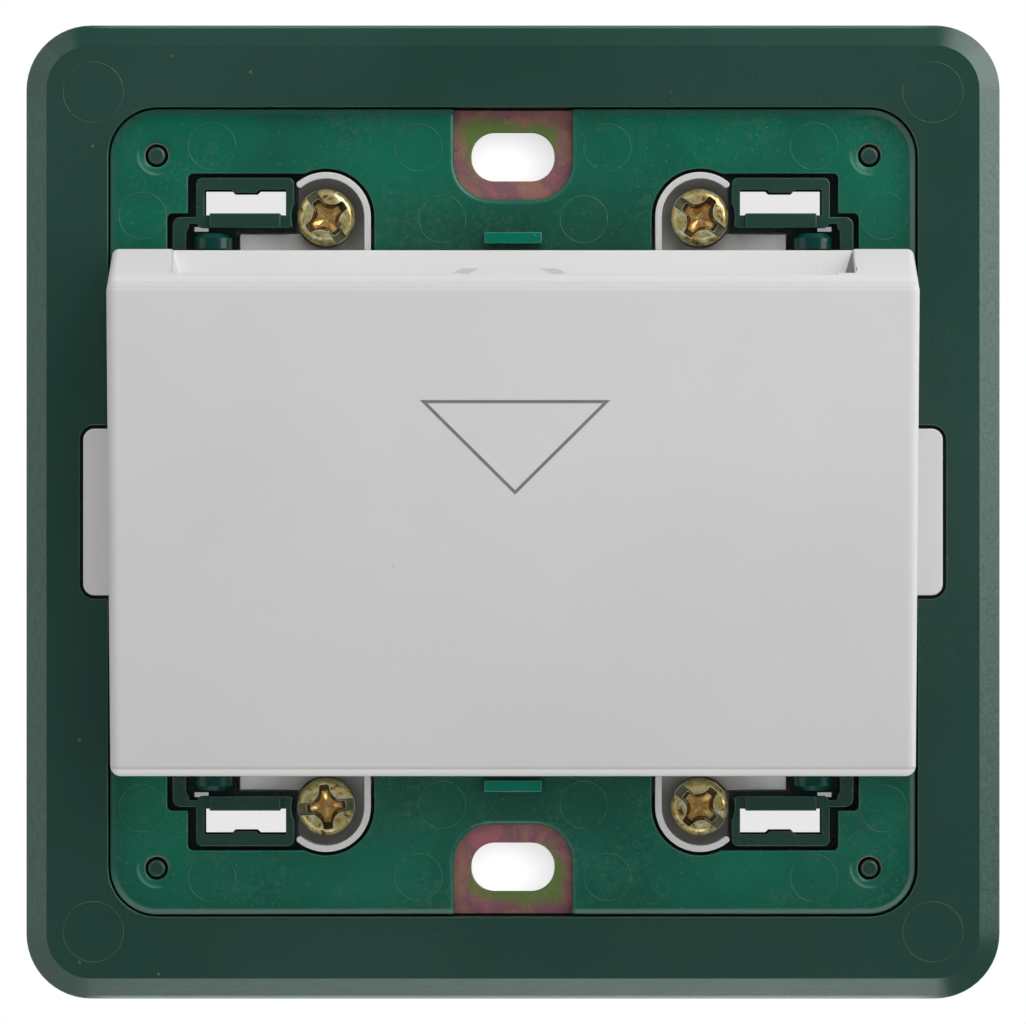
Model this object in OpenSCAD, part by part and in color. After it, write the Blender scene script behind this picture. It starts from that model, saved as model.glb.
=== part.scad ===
// Hotel key card switch: a square mounting frame, a card pocket in front and a two-pole switch behind.
// Millimetres. X runs right, Z runs up and Y runs into the wall, so the front faces -Y.
// The origin is the middle of the frame on the wall plane.

/* [Mounting frame] */
// Side of the square mounting frame
frame_side = 82.5; // [80:0.5:86]
// Corner radius of the frame
frame_corner_r = 5.5; // [4.5:0.1:7]
// Depth of the frame, from the wall to its front face
frame_depth = 5; // [4.6:0.1:6]
// Width of the bevel round the front edge
bevel_width = 1.8; // [1:0.1:2.4]
// Depth of the same bevel
bevel_depth = 1.2; // [0.6:0.1:1.6]
// Gap between the sheet and the edge of the recess that holds it
sheet_gap = 0.15; // [0.1:0.05:0.4]
// Thickness of the web at the bottom of the recess
floor_thickness = 1.4; // [1:0.1:1.8]
// Side of the square hollow behind the web
back_hollow_side = 66; // [65.5:0.1:67]
// Corner radius of that hollow
back_hollow_r = 3; // [2:0.1:4]
// Wall left beside the moulding pockets in the back of the border
core_wall = 1.2; // [1:0.05:1.3]
// Depth of those pockets
core_depth = 2.8; // [1:0.1:3]
// Number of those pockets on one side
core_count = 6; // [4:1:7]
// Web left between two pockets
core_web = 1.6; // [1.2:0.1:2.5]
// Locating pin radius
pin_r = 0.75; // [0.6:0.05:0.8]
// Locating pin distance from the edges of the sheet
pin_inset = 3.9; // [3.6:0.1:4.2]

/* [Clip sockets of the frame] */
// Width of a clip socket
socket_w = 8.3; // [8:0.1:8.4]
// Height of a clip socket
socket_h = 4.25; // [4.1:0.05:4.4]
// Middle of a clip socket along X
socket_x = 22.7; // [22.6:0.05:22.8]
// Middle of a clip socket along Z
socket_z = 26.2; // [26.15:0.05:26.3]
// Width of the window through a clip socket
window_w = 6.9; // [6.5:0.1:7]
// Height of the window
window_h = 2.15; // [1.8:0.05:2.2]
// Width of the latch lip on the inner edge of the window
lip_w = 6; // [5:0.1:6.4]
// Thickness of the rib beside a clip socket
rib_w = 1.15; // [0.9:0.05:1.3]

/* [Fixing strap] */
// Distance between the two fixing slots
fixing_centres = 60.3; // [60:0.1:60.8]
// Length of a fixing slot
slot_length = 7.05; // [6:0.05:7.4]
// Width of a fixing slot
slot_width = 4.15; // [3.8:0.05:4.4]
// Sheet thickness of the steel strap
strap_thickness = 1; // [0.8:0.1:1.2]

/* [Insulating sheet] */
// Width and height of the strap and of the sheet on it
sheet_w = 68.2; // [67.6:0.1:68.2]
// Corner radius of the strap and the sheet
sheet_corner_r = 4; // [3:0.1:4.2]
// Thickness of the insulating sheet
sheet_thickness = 1; // [0.8:0.1:1.2]
// Width of the bay that bares a fixing slot
bay_w = 10; // [9:0.1:11]
// Depth of that bay from the edge of the sheet
bay_depth = 7.6; // [7.2:0.1:7.8]
// Corner radius of the bay
bay_corner_r = 3.2; // [2:0.1:3.6]
// Width of the raised lug on the middle tongue
lug_w = 4.9; // [4:0.1:6]
// Height of the raised lug on the middle tongue
lug_h = 1; // [0.8:0.1:1.1]
// Radius of the springy side bead
bead_r = 1.65; // [1.4:0.05:1.7]
// Radius of the dimple round a locating pin
dimple_r = 1.65; // [1.4:0.05:1.9]
// Depth of that dimple
dimple_depth = 0.2; // [0.1:0.05:0.4]

/* [Switch module] */
// Half width of the module where it passes the frame
plug_half_w = 23.2; // [23:0.05:23.4]
// Half height of the module in the middle
plug_half_h = 21.2; // [21:0.05:21.3]
// Half height of the module at its sides
wing_half_h = 23.6; // [23.4:0.05:23.65]
// Clearance between the module and the frame
plug_clearance = 0.25; // [0.2:0.05:0.3]
// Wall thickness of the module
module_wall = 1.4; // [1.2:0.1:1.6]
// Thickness of the module's front wall behind the frame
front_wall = 1.4; // [1.2:0.1:1.8]
// Thickness of the rear cover
rear_cover_thickness = 1.6; // [1.4:0.1:2]
// Screw terminals: distance from the centre along X
terminal_x = 15.85; // [15.8:0.05:15.9]
// Screw terminals: distance from the centre along Z
terminal_z = 25; // [24.9:0.05:25.1]
// Inner radius of the wall round a terminal screw
well_r = 3.25; // [3.1:0.05:3.3]
// Thickness of that wall
well_wall = 0.55; // [0.5:0.05:0.6]

/* [Card pocket] */
// Width of a key card
card_w = 54; // [53.5:0.1:55]
// Free play of the card, both sides together
card_play = 1.4; // [1:0.1:1.8]
// Width of the pocket
pocket_w = 67.4; // [67:0.1:68]
// Height of the pocket at its back
pocket_h = 44.2; // [44:0.1:44.4]
// Height of the pocket's front upper edge above the middle
pocket_lip_z = 19.2; // [18.6:0.1:20]
// Depth of the pocket's front upper edge, from the wall
pocket_top_depth = 16.35; // [16:0.05:17]
// Depth of the pocket's front lower edge, from the wall
pocket_bottom_depth = 11.35; // [11.2:0.05:12]
// Radius of the pocket's front edges
pocket_edge_r = 0.9; // [0.6:0.1:1.1]
// Thickness of the front wall at the mouth
mouth_wall = 2.65; // [2.2:0.05:2.9]
// Thickness of the front wall at the bottom
foot_wall = 1.85; // [1.6:0.05:2]
// Thickness of the bottom of the pocket
pocket_floor = 1.8; // [1.4:0.1:2.2]
// Room between the guide ribs and the guide plate
card_gap = 1.7; // [1.5:0.1:1.8]
// Thickness of the guide plate
guide_thickness = 1.6; // [1.4:0.1:1.8]
// Depth of the front of the guide plate, from the wall
guide_depth = 7.9; // [7.7:0.05:8.2]
// Half width of the module across its ears
ear_half_w = 36.35; // [36:0.05:36.6]
// Height of an ear
ear_h = 14.1; // [12:0.1:15]
// Thickness of an ear
ear_thickness = 1; // [0.8:0.05:1.2]
// Dark gap round an ear
ear_gap = 0.3; // [0.2:0.05:0.4]

/* [Card lever] */
// Radius of the lever's pin
lever_pin_r = 0.8; // [0.7:0.05:0.9]
// Radius of the lever's barrel
barrel_r = 1.5; // [1.4:0.05:1.55]
// Height of the lever's pin above the middle
pivot_z = 2; // [1.8:0.1:2.4]
// Depth of the lever's pin, from the wall
pivot_depth = 4.2; // [4.1:0.05:4.3]
// Width of the lever's nose
nose_w = 9.2; // [8:0.1:10]
// Reach of the nose past the front of the guide plate
nose_reach = 2.3; // [2:0.05:2.3]
// Distance of the nose below the pin
nose_drop = 14; // [13.6:0.1:14.2]
// Distance of the plungers below the pin
plunger_drop = 12; // [11.8:0.1:12.2]
// Distance of the spring below the pin
spring_drop = 13; // [12.8:0.1:13.2]
// Mean radius of the lever spring
spring_r = 1.9; // [1.7:0.05:2]
// Wire diameter of the lever spring
spring_wire = 0.5; // [0.4:0.05:0.55]
// Turns of the lever spring
spring_turns = 6; // [5:1:7]

/* [Switch poles] */
// Distance of a pole from the middle
pole_x = 9.6; // [9.5:0.05:9.7]
// Width of a switch case
case_w = 10.3; // [10:0.1:10.4]
// Length of a switch case
case_length = 27.8; // [27.6:0.1:28.2]
// Depth of a switch case without its lid
case_depth = 14.2; // [14:0.1:14.3]
// Wall thickness of a switch case
case_wall = 1.2; // [1:0.1:1.3]
// Thickness of the lid of a switch case
lid_thickness = 1.2; // [1:0.1:1.3]
// Radius of a plunger
plunger_r = 1.5; // [1.3:0.05:1.6]
// Running clearance of a plunger and of a pin in its hole
running_clearance = 0.06; // [0.04:0.01:0.09]
// Width of a brass bar
bar_w = 3.4; // [3:0.1:3.6]
// Thickness of a brass bar
bar_thickness = 1; // [0.8:0.1:1]
// Thickness of a contact blade
blade_thickness = 0.4; // [0.3:0.05:0.5]
// Radius of a contact
contact_r = 1.2; // [1:0.05:1.3]

/* [Screw terminals] */
// Radius of a terminal screw's head
head_r = 2.45; // [2.3:0.05:2.6]
// Height of a terminal screw's head
head_h = 2; // [1.6:0.1:2]
// Radius of a terminal screw's shank
shank_r = 1.5; // [1.4:0.05:1.5]
// Width of a terminal cage
cage_w = 4.8; // [4.7:0.05:4.9]
// Height of a terminal cage
cage_h = 5.2; // [4.8:0.1:5.4]
// Wall thickness of a terminal cage
cage_wall = 0.6; // [0.5:0.05:0.6]
// Room for a conductor in an open terminal
wire_room = 3.5; // [3.2:0.1:3.5]
// Travel of a cage between open and tight
cage_travel = 2.8; // [2:0.1:2.8]

/* [Hidden] */
$fn = 48;

frame_green = [0.13, 0.20, 0.18];
sheet_green = [0.10, 0.36, 0.27];
strap_steel = [0.50, 0.42, 0.40];
pale_grey = [0.82, 0.83, 0.82];
dark_grey = [0.30, 0.31, 0.32];
mid_grey = [0.50, 0.51, 0.52];
steel = [0.72, 0.72, 0.70];
brass = [0.78, 0.63, 0.32];
passivated = [0.74, 0.66, 0.40];

// A cut runs this far past the face it opens
overrun = 1;
// Flat faces of neighbouring pieces that must not touch keep this apart
air = 0.2;
// Solids that are joined reach this far into each other
bond = 0.2;

// Levels along the depth of the object, from front to back
frame_front = -frame_depth;
sheet_front = frame_front + ear_thickness;
strap_front = sheet_front + sheet_thickness;
floor_front = strap_front + strap_thickness;
floor_back = floor_front + floor_thickness;
deck_front = floor_front + air;
inner_front = floor_back + front_wall;
guide_front = -guide_depth;
guide_back = guide_front + guide_thickness;
skirt_gap = 0.9;
skirt_back = sheet_front - skirt_gap;
pivot_y = -pivot_depth;

// The frame's recess, its border and its locating pins
recess_side = sheet_w + 2 * sheet_gap;
recess_corner_r = sheet_corner_r + sheet_gap;
pin_offset = sheet_w / 2 - pin_inset;
core_width = (frame_side - recess_side) / 2 - 2 * core_wall;
core_middle = (frame_side + recess_side) / 4;
pin_drop = 0.2;
pin_chamfer = 0.2;
pin_chamfer_w = 0.15;
slot_relief = 0.5;

// Clip sockets
socket_drop = 0.1;
socket_front = sheet_front + socket_drop;
lip_rise = 0.4;
lip_front = socket_front - lip_rise;
lip_reach = 0.15;
window_drop = 1.05;
window_low = socket_z - window_drop;
bump_w = 2.4;
bump_h = 0.25;
socket_corner_r = 0.55;
socket_bite = 0.25;
socket_bite_r = socket_x - socket_w / 2 - terminal_x + socket_bite;
rib_gap = 0.85;
rib_x = socket_x + socket_w / 2 + rib_gap;
rib_top = 25;
rib_bottom = 19;
rib_corner_r = 0.7;
vent_w = 1.25;
vent_h = 0.45;
vent_gap = 0.55;
vent_x = rib_x - vent_gap - vent_w / 2;
vent_z = wing_half_h + plug_clearance + vent_h / 2;
web_gap = 0.1;
web_low = vent_z + vent_h / 2 + web_gap;

// Openings of the strap and of the sheet
rib_side_room = 0.45;
rib_end_room = 0.3;
tongue_gap = 0.4;
window_half_w = rib_x + rib_w + rib_side_room;
window_side_h = rib_top + rib_end_room;
window_mid_h = plug_half_h + tongue_gap;
slot_flat = 0.1;
socket_margin = 0.35;
socket_side_room = 0.7;
window_corner_r = 0.45;
strap_set_back = 0.15;
well_margin = 0.3;
lug_z = 23.2;
lug_rise = 0.8;
bead_gap = 0.35;
bead_rise = 0.7;
bead_x = plug_half_w + plug_clearance + bead_gap + bead_r;
bead_y = sheet_front - bead_rise + bead_r;
bead_top = wing_half_h;
bead_bottom = 14.5;
bead_chamfer = 0.4;
bead_groove = 0.2;
bead_groove_z = bead_top - 1.5;
tongue_h = 4;
pin_hole_gap = 0.2;

// The module
well_outer_r = well_r + well_wall;
well_cut = 2.35;
flange_rise = 0.8;
flange_lap = 0.7;
flange_front = deck_front - flange_rise;
flange_ramp_start = 1;
flange_ramp_fall = 0.28;
head_room = 0.15;
rim_rise = 0.2;
rim_front = sheet_front - rim_rise;
rim_leg = 4.6;
rim_end_angle = 51;
shoulder = 1.2;
tower_half_w = 3.25;
tower_wall = 0.65;
tower_cap = 0.4;
tower_top = terminal_z + well_outer_r + tower_cap;
wing_shoulder = 1;
lever_angle = 10;

// Switch poles
plunger_z = pivot_z - plunger_drop;
plunger_rest_gap = 0.15;
pad_back = pivot_y;
pad_r = 1.6;
plunger_front = pad_back + plunger_rest_gap;
plunger_travel = plunger_drop * lever_angle * PI / 180;
plunger_hole_gap = 0.6;
collar_lip = 0.8;
collar_r = plunger_r + collar_lip;
collar_h = 1;
collar_gap = 0.3;
collar_front = inner_front + case_wall + collar_gap;
plunger_tail = 2.6;
blade_front = collar_front + collar_h + plunger_travel + plunger_tail;
blade_back = blade_front + blade_thickness;
blade_rest_gap = 0.1;
plunger_back = blade_front - blade_rest_gap;
blade_arm = 16;
root_z = plunger_z + blade_arm;
contact_drop = 3;
contact_z = plunger_z - contact_drop;
blade_angle = plunger_travel / blade_arm * 180 / PI;
button_h = 0.6;
rivet_h = 0.4;
contact_reach = (root_z - contact_z + contact_r) * sin(blade_angle);
contact_gap = 0.17;
bar_front = blade_back + button_h + contact_reach + contact_gap + rivet_h;
bar_back = bar_front + bar_thickness;
blade_w = 3.6;
blade_tail = 1.4;
knuckle_r = 0.5;
knuckle_gap = 0.05;
post_h = 1.4;
case_head_room = 3.2;
case_top = root_z + blade_tail + case_head_room + case_wall;
case_bottom = case_top - case_length;
case_back = inner_front + case_depth;
lid_back = case_back + lid_thickness;
bar_slot_gap = 0.1;
bar_clearance = 0.05;
line_turn_gap = 1.3;
line_turn_z = case_top + line_turn_gap;
load_turn_gap = 0.6;
load_turn_z = case_bottom - load_turn_gap;
bar_overhang = 2.3;
bar_end_z = terminal_z + bar_overhang;

// Screw terminals
nut_h = 2;
head_chamfer = 0.5;
recess_w = 0.9;
slot_depth = 0.8;
cross_depth = 1.1;
cross_length = 3.2;
shank_tip_gap = 0.05;
shank_tip = bar_front - shank_tip_gap;
cage_inner_back = bar_back + wire_room;
cage_back_wall = 0.7;
cage_back = cage_inner_back + cage_back_wall;
cage_front_room = 3;
cage_front = inner_front + cage_travel + cage_front_room;
thread_gap = 0.05;
shank_hole_gap = 0.2;
wire_hole_w = 3.4;
wire_hole_gap = 0.1;
slot_angles = [57, 35, -6, 40];

// Depth of the chamber and what closes it
chamber_back = cage_back + air;
cover_back = chamber_back + rear_cover_thickness;
cover_rib_w = 1.4;
cover_rib_inset = 3;
panel_side_inset = 4;
panel_end_inset = 3;
panel_line_w = 0.8;
panel_corner_r = 2;
panel_rise = 0.6;
post_inset = 2.3;
post_x = plug_half_w - post_inset;
post_z = 8;
post_r = 2.3;
cover_screw_length = 8;
screw_hole_room = 1;
pocket_screw_x = 19.5;
pocket_screw_z = 16.5;
guide_post_r = 2.4;
tapping_r = 1;
tapping_gap = 0.03;
tapping_head_r = 1.9;
tapping_head_h = 1.3;
tapping_slot_l = 2.2;
tapping_slot_w = 0.6;
tapping_slot_depth = 0.6;
pocket_screw_reach = 3.4;
pocket_hole_room = 0.4;

// The lever and what carries it
barrel_overhang = 2.2;
barrel_half = pole_x + barrel_overhang;
cheek_w = 2.4;
cheek_gap = 0.2;
cheek_lip = 0.2;
cheek_r = barrel_r + cheek_lip;
plate_offset = 0.7;
plate_thickness = 1;
plate_back = pivot_y - plate_offset;
plate_front = plate_back - plate_thickness;
plate_tail = 2;
plate_bottom = plunger_z - plate_tail;
pad_root = 0.5;
nose_z = pivot_z - nose_drop;
nose_tip_r = 0.7;
nose_front = guide_front - nose_reach;
nose_rise = 5.6;
nose_tail = 2.2;
nose_flat = 0.5;
nose_set_back = 0.2;
nose_top = nose_z + nose_rise;
nose_bottom = nose_z - nose_tail;
spring_z = pivot_z - spring_drop;
cup_gap = 0.45;
cup_r = spring_r + spring_wire / 2 + cup_gap;
cup_wall = 0.9;
cup_depth = 3.6;
cup_floor = inner_front + cup_depth;
cup_base = 1.2;
cup_back = cup_floor + cup_base;

// The pocket
channel_half = (card_w + card_play) / 2;
mouth_flare = 0.9;
mouth_half = channel_half + mouth_flare;
mouth_flare_z = 10;
lead_in_h = 2.7;
lead_in_depth = 2;
lead_in_z = pocket_h / 2 - lead_in_h;
channel_bottom = -pocket_h / 2 + pocket_floor;
front_lean = (pocket_top_depth - pocket_bottom_depth) / (pocket_lip_z + pocket_h / 2);
pocket_corner_r = 0.6;
pocket_rim = 0.3;
rib_plane = guide_front - card_gap;
guide_rib_w = 1.2;
guide_rib_xs = [-21, -8.5, 8.5, 21];
guide_rib_start = 4;
guide_rib_full = -4;
end_wall = 1.5;
side_wall = 1.7;
end_core_inner = mouth_half + end_wall;
end_core_outer = pocket_w / 2 - side_wall;
end_core_top = 13;
end_core_bottom = -17;
peg_r = 1;
peg_root = 0.5;
peg_low_rise = 1.2;
peg_high_rise = 3.6;
peg_x = (end_core_inner + end_core_outer) / 2;
peg_zs = [channel_bottom + peg_low_rise, end_core_top + peg_high_rise];
relief_w = 9.5;
relief_depth = 0.9;
relief_taper = 2;
side_relief_x = 22.4;
side_relief_w = 9;
side_relief_depth = 0.5;
relief_h = 4;
skirt_wall = 1.6;
ear_corner_r = 0.95;
ear_root_x = 26;
nose_side_room = 0.4;
nose_top_room = 0.4;
nose_bottom_room = 0.8;
guide_window_w = nose_w + 2 * nose_side_room;
guide_window_top = nose_top + nose_top_room;
guide_window_bottom = nose_bottom - nose_bottom_room;

// Front of the pocket at a height, before its edges are rounded
function pocket_front(z) = -pocket_bottom_depth - front_lean * (z + pocket_h / 2);
// Inner face of the pocket's front wall at a height
function wall_inside(z) =
    let (share = (z - channel_bottom) / (pocket_lip_z - channel_bottom))
    pocket_front(z) + foot_wall + share * (mouth_wall - foot_wall);

// Extrudes an outline in X and Z along the depth, from one level to another
module slab(y_front, y_back) {
    translate([0, y_back, 0])
        rotate([90, 0, 0])
            linear_extrude(y_back - y_front)
                children();
}

// Extrudes an outline in Y and Z along X
module along_x(x_from, x_to) {
    translate([x_from, 0, 0])
        rotate([90, 0, 90])
            linear_extrude(x_to - x_from)
                children();
}

// A cylinder along the depth
module rod_y(y_front, y_back, r) {
    translate([0, y_front, 0])
        rotate([-90, 0, 0])
            cylinder(h = y_back - y_front, r = r);
}

// A cylinder along X
module rod_x(x_from, x_to, r) {
    translate([x_from, 0, 0])
        rotate([0, 90, 0])
            cylinder(h = x_to - x_from, r = r);
}

// A rectangle given by two corners
module span(x_from, x_to, z_from, z_to) {
    translate([x_from, z_from])
        square([x_to - x_from, z_to - z_from]);
}

// A rectangle given by two corners, the second of them rounded
module corner_span(x_from, x_to, z_from, z_to, r) {
    span(x_from, x_to - r, z_from, z_to);
    span(x_from, x_to, z_from, z_to - r);
    translate([x_to - r, z_to - r])
        circle(r);
}

// A rectangle about the middle, with round corners
module rounded(w, h, r) {
    square([w - 2 * r, h], center = true);
    square([w, h - 2 * r], center = true);
    for (sx = [-1, 1], sz = [-1, 1])
        translate([sx * (w / 2 - r), sz * (h / 2 - r)])
            circle(r);
}

// Repeats an outline in the four quarters
module quarters() {
    for (sx = [0, 1], sz = [0, 1])
        mirror([sx, 0])
            mirror([0, sz])
                children();
}

// Repeats a solid in the four quarters
module quarter_solids() {
    for (sx = [0, 1], sz = [0, 1])
        mirror([sx, 0, 0])
            mirror([0, 0, sz])
                children();
}

// The two mirrored sides of a solid
module both_sides() {
    children();
    mirror([1, 0, 0])
        children();
}

// Square block whose front edge is bevelled all round
module bevelled_block(side, r, y_front, y_back, width, depth) {
    half = side / 2;
    y_edge = y_front + depth;
    slab(y_edge, y_back)
        rounded(side, side, r);
    along_x(r - half, half - r)
        polygon([[y_edge, half], [y_front, half - width], [y_front, width - half], [y_edge, -half]]);
    translate([0, 0, r - half])
        linear_extrude(side - 2 * r)
            polygon([[half, y_edge], [half - width, y_front], [width - half, y_front], [-half, y_edge]]);
    for (sx = [-1, 1], sz = [-1, 1])
        translate([sx * (half - r), y_edge, sz * (half - r)])
            rotate([90, 0, 0])
                cylinder(h = depth, r1 = r, r2 = r - width);
}

// Outline of the module where it passes through the frame, grown by a clearance
module plug_outline(grow = 0) {
    side = plug_half_w + grow;
    square([2 * side, 2 * (plug_half_h + grow)], center = true);
    quarters() {
        span(terminal_x - well_outer_r - grow, side, 0, wing_half_h + grow);
        span(terminal_x - well_outer_r - grow, terminal_x + well_cut + grow, 0, terminal_z);
        intersection() {
            translate([terminal_x, terminal_z])
                circle(well_outer_r + grow);
            span(0, terminal_x + well_cut + grow, terminal_z - overrun, 2 * terminal_z);
        }
    }
}

// Outline of the module behind the frame, inset by a wall
module shell_outline(wall = 0, tower = 0) {
    side = plug_half_w + shoulder - wall;
    square([2 * side, 2 * (plug_half_h + shoulder - wall)], center = true);
    quarters() {
        span(terminal_x - well_outer_r - shoulder + wall, side, 0, wing_half_h + wing_shoulder - wall);
        span(terminal_x - tower_half_w + tower, terminal_x + tower_half_w - tower, 0, tower_top - tower);
    }
}

// Opening of the strap and the sheet round the module and the clip sockets, made smaller by an amount
module sheet_window(shrink = 0) {
    side = window_half_w - shrink;
    inner = terminal_x - well_outer_r - well_margin + shrink;
    square([2 * side, 2 * (window_mid_h - shrink)], center = true);
    quarters() {
        corner_span(inner, side, 0, window_side_h - shrink, window_corner_r);
        span(inner, terminal_x, 0, terminal_z);
        corner_span(terminal_x, socket_x + socket_w / 2 + socket_side_room - shrink, 0,
            socket_z + socket_h / 2 + socket_margin - shrink, window_corner_r);
        translate([terminal_x, terminal_z])
            circle(well_outer_r + well_margin - shrink);
    }
}

module fixing_slots(grow = 0) {
    for (sz = [-1, 1])
        translate([0, sz * fixing_centres / 2])
            rounded(slot_length + 2 * grow, slot_width + 2 * grow, slot_width / 2 + grow - slot_flat);
}

module pin_places() {
    for (sx = [-1, 1], sz = [-1, 1])
        translate([sx * pin_offset, sz * pin_offset])
            children();
}

// Bay at the top of the sheet, open to its edge
module bay() {
    low = sheet_w / 2 - bay_depth;
    span(-bay_w / 2, bay_w / 2, low + bay_corner_r, sheet_w / 2 + overrun);
    span(bay_corner_r - bay_w / 2, bay_w / 2 - bay_corner_r, low, low + 2 * bay_corner_r);
    for (sx = [-1, 1])
        translate([sx * (bay_w / 2 - bay_corner_r), low + bay_corner_r])
            circle(bay_corner_r);
}

// One clip socket with its latch lip and rib, in the upper right quarter
module clip_socket() {
    slab(socket_front, floor_front + bond)
        difference() {
            translate([socket_x, socket_z])
                rounded(socket_w, socket_h, socket_corner_r);
            translate([terminal_x, terminal_z])
                circle(socket_bite_r);
        }
    slab(lip_front, socket_front + bond)
        span(socket_x - lip_w / 2, socket_x + lip_w / 2, socket_z - socket_h / 2, window_low + lip_reach);
    slab(socket_front, floor_front + bond) {
        corner_span(rib_x, rib_x + rib_w, rib_bottom, rib_top, rib_corner_r);
        span(socket_x + socket_w / 2 - bond, rib_x + bond, web_low, rib_top);
    }
}

// What is cut through a clip socket and the web behind it, in the upper right quarter
module clip_window() {
    slab(socket_front - overrun, floor_back + overrun)
        difference() {
            span(socket_x - window_w / 2, socket_x + window_w / 2, window_low, window_low + window_h);
            translate([socket_x, window_low + window_h])
                polygon([
                    [-bump_w / 2, bond], [-bump_w / 2, 0], [bump_h - bump_w / 2, -bump_h],
                    [bump_w / 2 - bump_h, -bump_h], [bump_w / 2, 0], [bump_w / 2, bond]
                ]);
            span(socket_x - lip_w / 2, socket_x + lip_w / 2, window_low, window_low + lip_reach);
        }
    slab(floor_front - overrun, floor_back + overrun)
        translate([vent_x, vent_z])
            square([vent_w, vent_h], center = true);
}

// Moulding pockets in the back of one side of the border
module border_cores() {
    run = frame_side - 4 * frame_corner_r;
    pitch = run / core_count;
    for (i = [0 : core_count - 1])
        translate([pitch * (i + 0.5) - run / 2, 0, core_middle])
            slab(-core_depth, overrun)
                square([pitch - core_web, core_width], center = true);
}

module mounting_frame() color(frame_green) {
    difference() {
        union() {
            difference() {
                bevelled_block(frame_side, frame_corner_r, frame_front, 0, bevel_width, bevel_depth);
                slab(frame_front - overrun, floor_front)
                    rounded(recess_side, recess_side, recess_corner_r);
                slab(floor_back, overrun)
                    rounded(back_hollow_side, back_hollow_side, back_hollow_r);
                slab(floor_front - overrun, floor_back + overrun)
                    plug_outline(plug_clearance);
                slab(floor_front - overrun, floor_back + overrun)
                    fixing_slots(slot_relief);
                slab(frame_front - overrun, sheet_front)
                    rounded(2 * (ear_half_w + ear_gap), ear_h + 2 * ear_gap, ear_corner_r + ear_gap);
                for (turn = [0 : 90 : 270])
                    rotate([0, turn, 0])
                        border_cores();
            }
            quarter_solids()
                clip_socket();
        }
        quarter_solids()
            clip_window();
    }
    for (sx = [-1, 1], sz = [-1, 1])
        translate([sx * pin_offset, 0, sz * pin_offset]) {
            rod_y(sheet_front + pin_drop, floor_front + bond, pin_r);
            translate([0, sheet_front + pin_drop, 0])
                rotate([90, 0, 0])
                    cylinder(h = pin_chamfer, r1 = pin_r, r2 = pin_r - pin_chamfer_w);
        }
}

module fixing_strap() color(strap_steel)
    slab(strap_front, floor_front)
        difference() {
            rounded(sheet_w, sheet_w, sheet_corner_r);
            sheet_window(-strap_set_back);
            fixing_slots();
            pin_places()
                circle(pin_r + pin_hole_gap);
        }

// Dished face round a locating pin, about the pin's own axis
module dimple() {
    hole_r = pin_r + pin_hole_gap;
    slope = (dimple_r - hole_r) / dimple_depth;
    translate([0, sheet_front - bond, 0])
        rotate([-90, 0, 0])
            cylinder(h = dimple_depth + bond, r1 = dimple_r + slope * bond, r2 = hole_r);
}

// Springy bead beside the module, round in front and flat behind
module bead() {
    intersection() {
        translate([bead_x, bead_y, 0])
            rotate_extrude()
                polygon([
                    [0, bead_bottom], [bead_r, bead_bottom], [bead_r, bead_groove_z - bead_groove],
                    [bead_r - bead_groove, bead_groove_z], [bead_r, bead_groove_z + bead_groove],
                    [bead_r, bead_top - bead_chamfer], [bead_r - bead_chamfer, bead_top], [0, bead_top]
                ]);
        slab(bead_y - 2 * bead_r, floor_front - air)
            span(bead_x - 2 * bead_r, bead_x + 2 * bead_r, bead_bottom - overrun, bead_top + overrun);
    }
    slab(sheet_front, strap_front)
        span(bead_x, window_half_w + bond, bead_bottom, bead_bottom + tongue_h);
}

module insulating_sheet() color(sheet_green) {
    difference() {
        slab(sheet_front, strap_front)
            difference() {
                rounded(sheet_w, sheet_w, sheet_corner_r);
                sheet_window();
                pin_places()
                    circle(pin_r + pin_hole_gap);
                for (flip = [0, 1])
                    mirror([0, flip])
                        bay();
            }
        for (sx = [-1, 1], sz = [-1, 1])
            translate([sx * pin_offset, 0, sz * pin_offset])
                dimple();
    }
    for (sz = [-1, 1])
        slab(sheet_front - lug_rise, sheet_front + bond)
            translate([0, sz * lug_z])
                square([lug_w, lug_h], center = true);
    quarter_solids()
        bead();
}

// Wall round a terminal screw, open on the outer side, about the screw's own axis
module well_rim() {
    middle = well_r + well_wall / 2;
    reach = 2 * well_outer_r;
    difference() {
        intersection() {
            circle(well_outer_r);
            polygon([
                [0, 0], [reach * cos(rim_end_angle), reach * sin(rim_end_angle)],
                [0, reach], [-reach, reach], [-reach, 0]
            ]);
        }
        circle(well_r);
    }
    span(-well_outer_r, -well_r, -rim_leg, 0);
    translate([middle * cos(rim_end_angle), middle * sin(rim_end_angle)])
        circle(well_wall / 2);
}

// Flange beside a terminal screw, falling to the floor of the well, in the upper right quarter
module terminal_flange() {
    low = plug_half_h - flange_lap;
    ramp_x = terminal_x + flange_ramp_start;
    difference() {
        translate([0, 0, low])
            linear_extrude(wing_half_h - low)
                polygon([
                    [plug_half_w, deck_front + bond], [plug_half_w, flange_front], [ramp_x, flange_front],
                    [ramp_x - (flange_rise + bond) / flange_ramp_fall, deck_front + bond]
                ]);
        translate([terminal_x, 0, terminal_z])
            rod_y(flange_front - overrun, deck_front, head_r + head_room);
    }
}

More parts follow.
